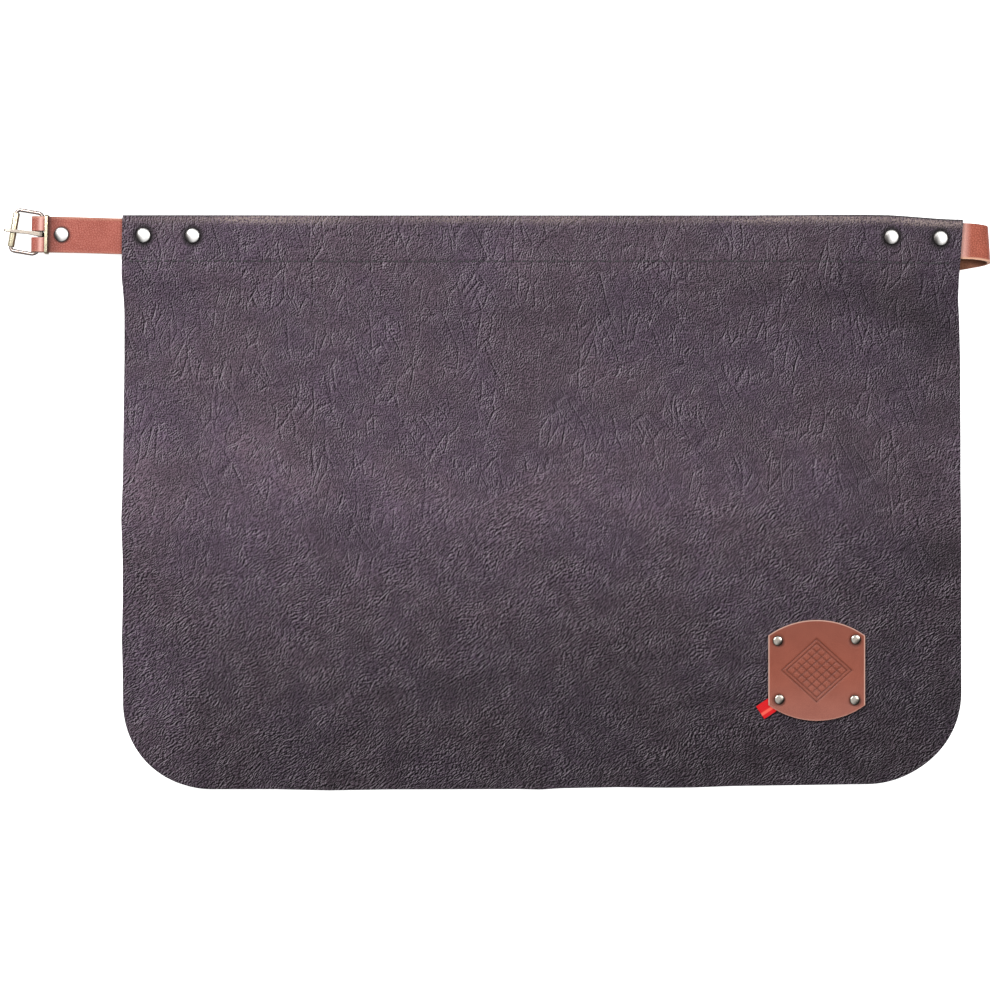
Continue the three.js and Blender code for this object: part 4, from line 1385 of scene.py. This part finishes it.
makeWire()
makeRoller()
makeProng()


# Keeper: a flat band round both layers of the strap

keeper = {"band": 2.2, "thick": 1.0, "corner": 1.5, "rounding": 0.46}


def makeKeeper():
    low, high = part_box("keeper_loop")
    centre = (low + high) / 2
    turn = math.radians(buckleStrap["turn"])
    slide = Vector(jointOf["keeper_slide"]["axis"])
    tilt = keeper["band"] * abs(slide.y)
    halfY = ((high.y - low.y) / mm - tilt) / 2 - keeper["thick"] / 2
    halfZ = (high.z - low.z) / mm / 2 - keeper["thick"] / 2
    bend = keeper["corner"]
    path = []
    for corner, sign in enumerate(((1, 1), (-1, 1), (-1, -1), (1, -1))):
        middle = (sign[0] * (halfY - bend), sign[1] * (halfZ - bend))
        path += arcRun(middle, bend, 90 * corner, 90 * corner + 90, 6)
    bm = bmesh.new()
    places = gridOf(bm, len(path), 2)
    for (i, j), vert in places.items():
        y, z = path[i % len(path)]
        vert.co = Vector(((j - 1) * keeper["band"] / 2, y, z)) * mm
    bmesh.ops.remove_doubles(bm, verts=bm.verts[:], dist=0.01 * mm)
    place = Matrix.Translation(centre) @ Matrix.Rotation(turn, 4, "Z")
    bmesh.ops.transform(bm, matrix=place, verts=bm.verts[:])
    bmesh.ops.recalc_face_normals(bm, faces=bm.faces[:])
    piece = addPiece("keeper_band", bm, [brassMetal] * 3, "keeper", ["keeper_loop"])
    thicken(piece, keeper["thick"], keeper["rounding"], 4)


makeKeeper()


# Patch: arched top and bottom, with a pressed border and lattice

patch = {
    "arch": 10.9,
    "columns": 136,
    "rows": 144,
    "thick": 2.4,
    "rise": 0.25,  # of the middle
    "relief": 0.4,  # left out of the leather's thickness for the pressing
    "rounding": 0.45,
    "line": 0.62,  # half width of a pressed line
    "depth": 0.6,
    "rawEdge": 0.9,
    "rivets": (26.8, 20.8),  # from the middle
    "frame": (21.0, 19.0),  # half diagonals of the lozenge
    "frameScale": 13.5,  # from shares of the lozenge to mm
    "secondFrame": 1.16,
    "cells": 3,  # each way from the middle
    "cellSize": 4.5,
    "latticeEnd": (0.9, 0.96),
}


def pressedDepth(x, y):
    p = patch

    def groove(away):
        return math.exp(-(away / p["line"]) ** 2)

    lozenge = abs(x) / p["frame"][0] + abs(y) / p["frame"][1]
    outer = groove((lozenge - 1) * p["frameScale"])
    second = groove((lozenge - p["secondFrame"]) * p["frameScale"])
    inside = 1 - smoothStep(lozenge, *p["latticeEnd"])
    a = (x / p["frame"][0] + y / p["frame"][1]) * p["cells"]
    b = (x / p["frame"][0] - y / p["frame"][1]) * p["cells"]
    fromLine = min(abs(a - round(a)), abs(b - round(b))) * p["cellSize"]
    lattice = groove(fromLine) * inside
    return max(outer, second, 0.8 * lattice)


def makePatch():
    low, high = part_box("leather_patch")
    centre = (low + high) / 2 / mm
    halfWidth, halfHeight = (high.x - low.x) / 2 / mm, (high.y - low.y) / 2 / mm
    radius = (halfWidth ** 2 + patch["arch"] ** 2) / (2 * patch["arch"])
    face = high.z / mm - patch["thick"] / 2
    bm = bmesh.new()
    places = gridOf(bm, patch["columns"], patch["rows"])
    pressed = {}
    for (i, j), vert in places.items():
        x = halfWidth * (2 * i / patch["columns"] - 1)
        reach = halfHeight - radius + math.sqrt(radius ** 2 - x * x)
        y = reach * (2 * j / patch["rows"] - 1)
        rimGap = min(halfWidth - abs(x), (reach - abs(y)) * 0.95)
        sink = pressedDepth(x, y)
        fromRivet = math.hypot(abs(x) - patch["rivets"][0], abs(y) - patch["rivets"][1])
        sink *= smoothStep(fromRivet, 4.2, 5.5)
        sink = max(sink, 0.5 * (1 - smoothStep(fromRivet, 3.4, 6)))
        dome = patch["rise"] * (1 - (x / halfWidth) ** 2) * (1 - (y / halfHeight) ** 2)
        # pale cut edge, painted weaker along the lower edge as painted shade; painted shade round the rivets
        # and towards the top, painted light towards the bottom; darker in the pressed lines
        bright = 0.3 if y < 0 and halfWidth - abs(x) > (reach - abs(y)) else 0.9
        raw = bright * (1 - smoothStep(rimGap, patch["rawEdge"] * 0.5, patch["rawEdge"]))
        shade = max(0.85 * sink, 0.14 * smoothStep(y, 0, halfHeight))
        pressed[vert] = shade, raw, 0.14 * smoothStep(-y, 0, halfHeight)
        z = face - patch["depth"] * sink + dome - patch["rise"]
        vert.co = Vector((centre.x + x, centre.y + y, z)) * mm
    paints = list(zip(*[pressed[vert] for vert in bm.verts]))
    unwrap(bm, {vert: vert.co.xy for vert in bm.verts})
    piece = addPiece("patch_leather", bm, patchSides, "apron", ["leather_patch"])
    for name, values in zip(("shade", "raw", "paintedHighlight"), paints):
        setValues(piece, name, values)
    thicken(piece, patch["thick"] - patch["relief"], patch["rounding"])


makePatch()


# Ribbon tab: a short ribbon folded over, caught under the patch

tab = {
    "thick": 0.42,
    "rounding": 0.1,
    "width": 10.5,
    "length": 14.2,
    "out": 0.8,  # further out and to the side than the solid
    "aside": -1.6,
    "turn": 213.5,  # degrees, the way that it points
    "steps": (60, 8),  # along and across
}


def makeTab():
    low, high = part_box("red_tag")
    centre = (low + high) / 2
    half = (high.z - low.z) / 2 / mm
    bend = half - tab["thick"] / 2
    path = StrapPath(
        [(0, bend), (tab["length"] - half, bend)],
        arcRun((tab["length"] - half, 0), bend, 90, -90, 10),
        [(tab["length"] - half, -bend), (0, -bend)],
    )
    turn = math.radians(tab["turn"])
    point = Vector((math.cos(turn), math.sin(turn), 0))
    side = Vector((-point.y, point.x, 0))
    base = centre / mm - point * (tab["length"] / 2 - tab["out"]) + side * tab["aside"]
    bm = bmesh.new()
    uv = bm.loops.layers.uv.new("ribbon")
    along, across = tab["steps"]
    stations = list(np.linspace(0, path.length, along))
    places = gridOf(bm, along - 1, across)
    shares = {}
    for (i, j), vert in places.items():
        u, z = path.at(stations[i])
        width = (j / across - 0.5) * tab["width"]
        vert.co = (base + point * u + side * width + Vector((0, 0, z))) * mm
        shares[vert] = (j / across, stations[i] / path.length)
    for face in bm.faces:
        for loop in face.loops:
            loop[uv].uv = shares[loop.vert]
    piece = addPiece("ribbon_tab", bm, [ribbonCloth] * 3, "apron", ["red_tag"])
    thicken(piece, tab["thick"], tab["rounding"])


makeTab()

print("scene finished")
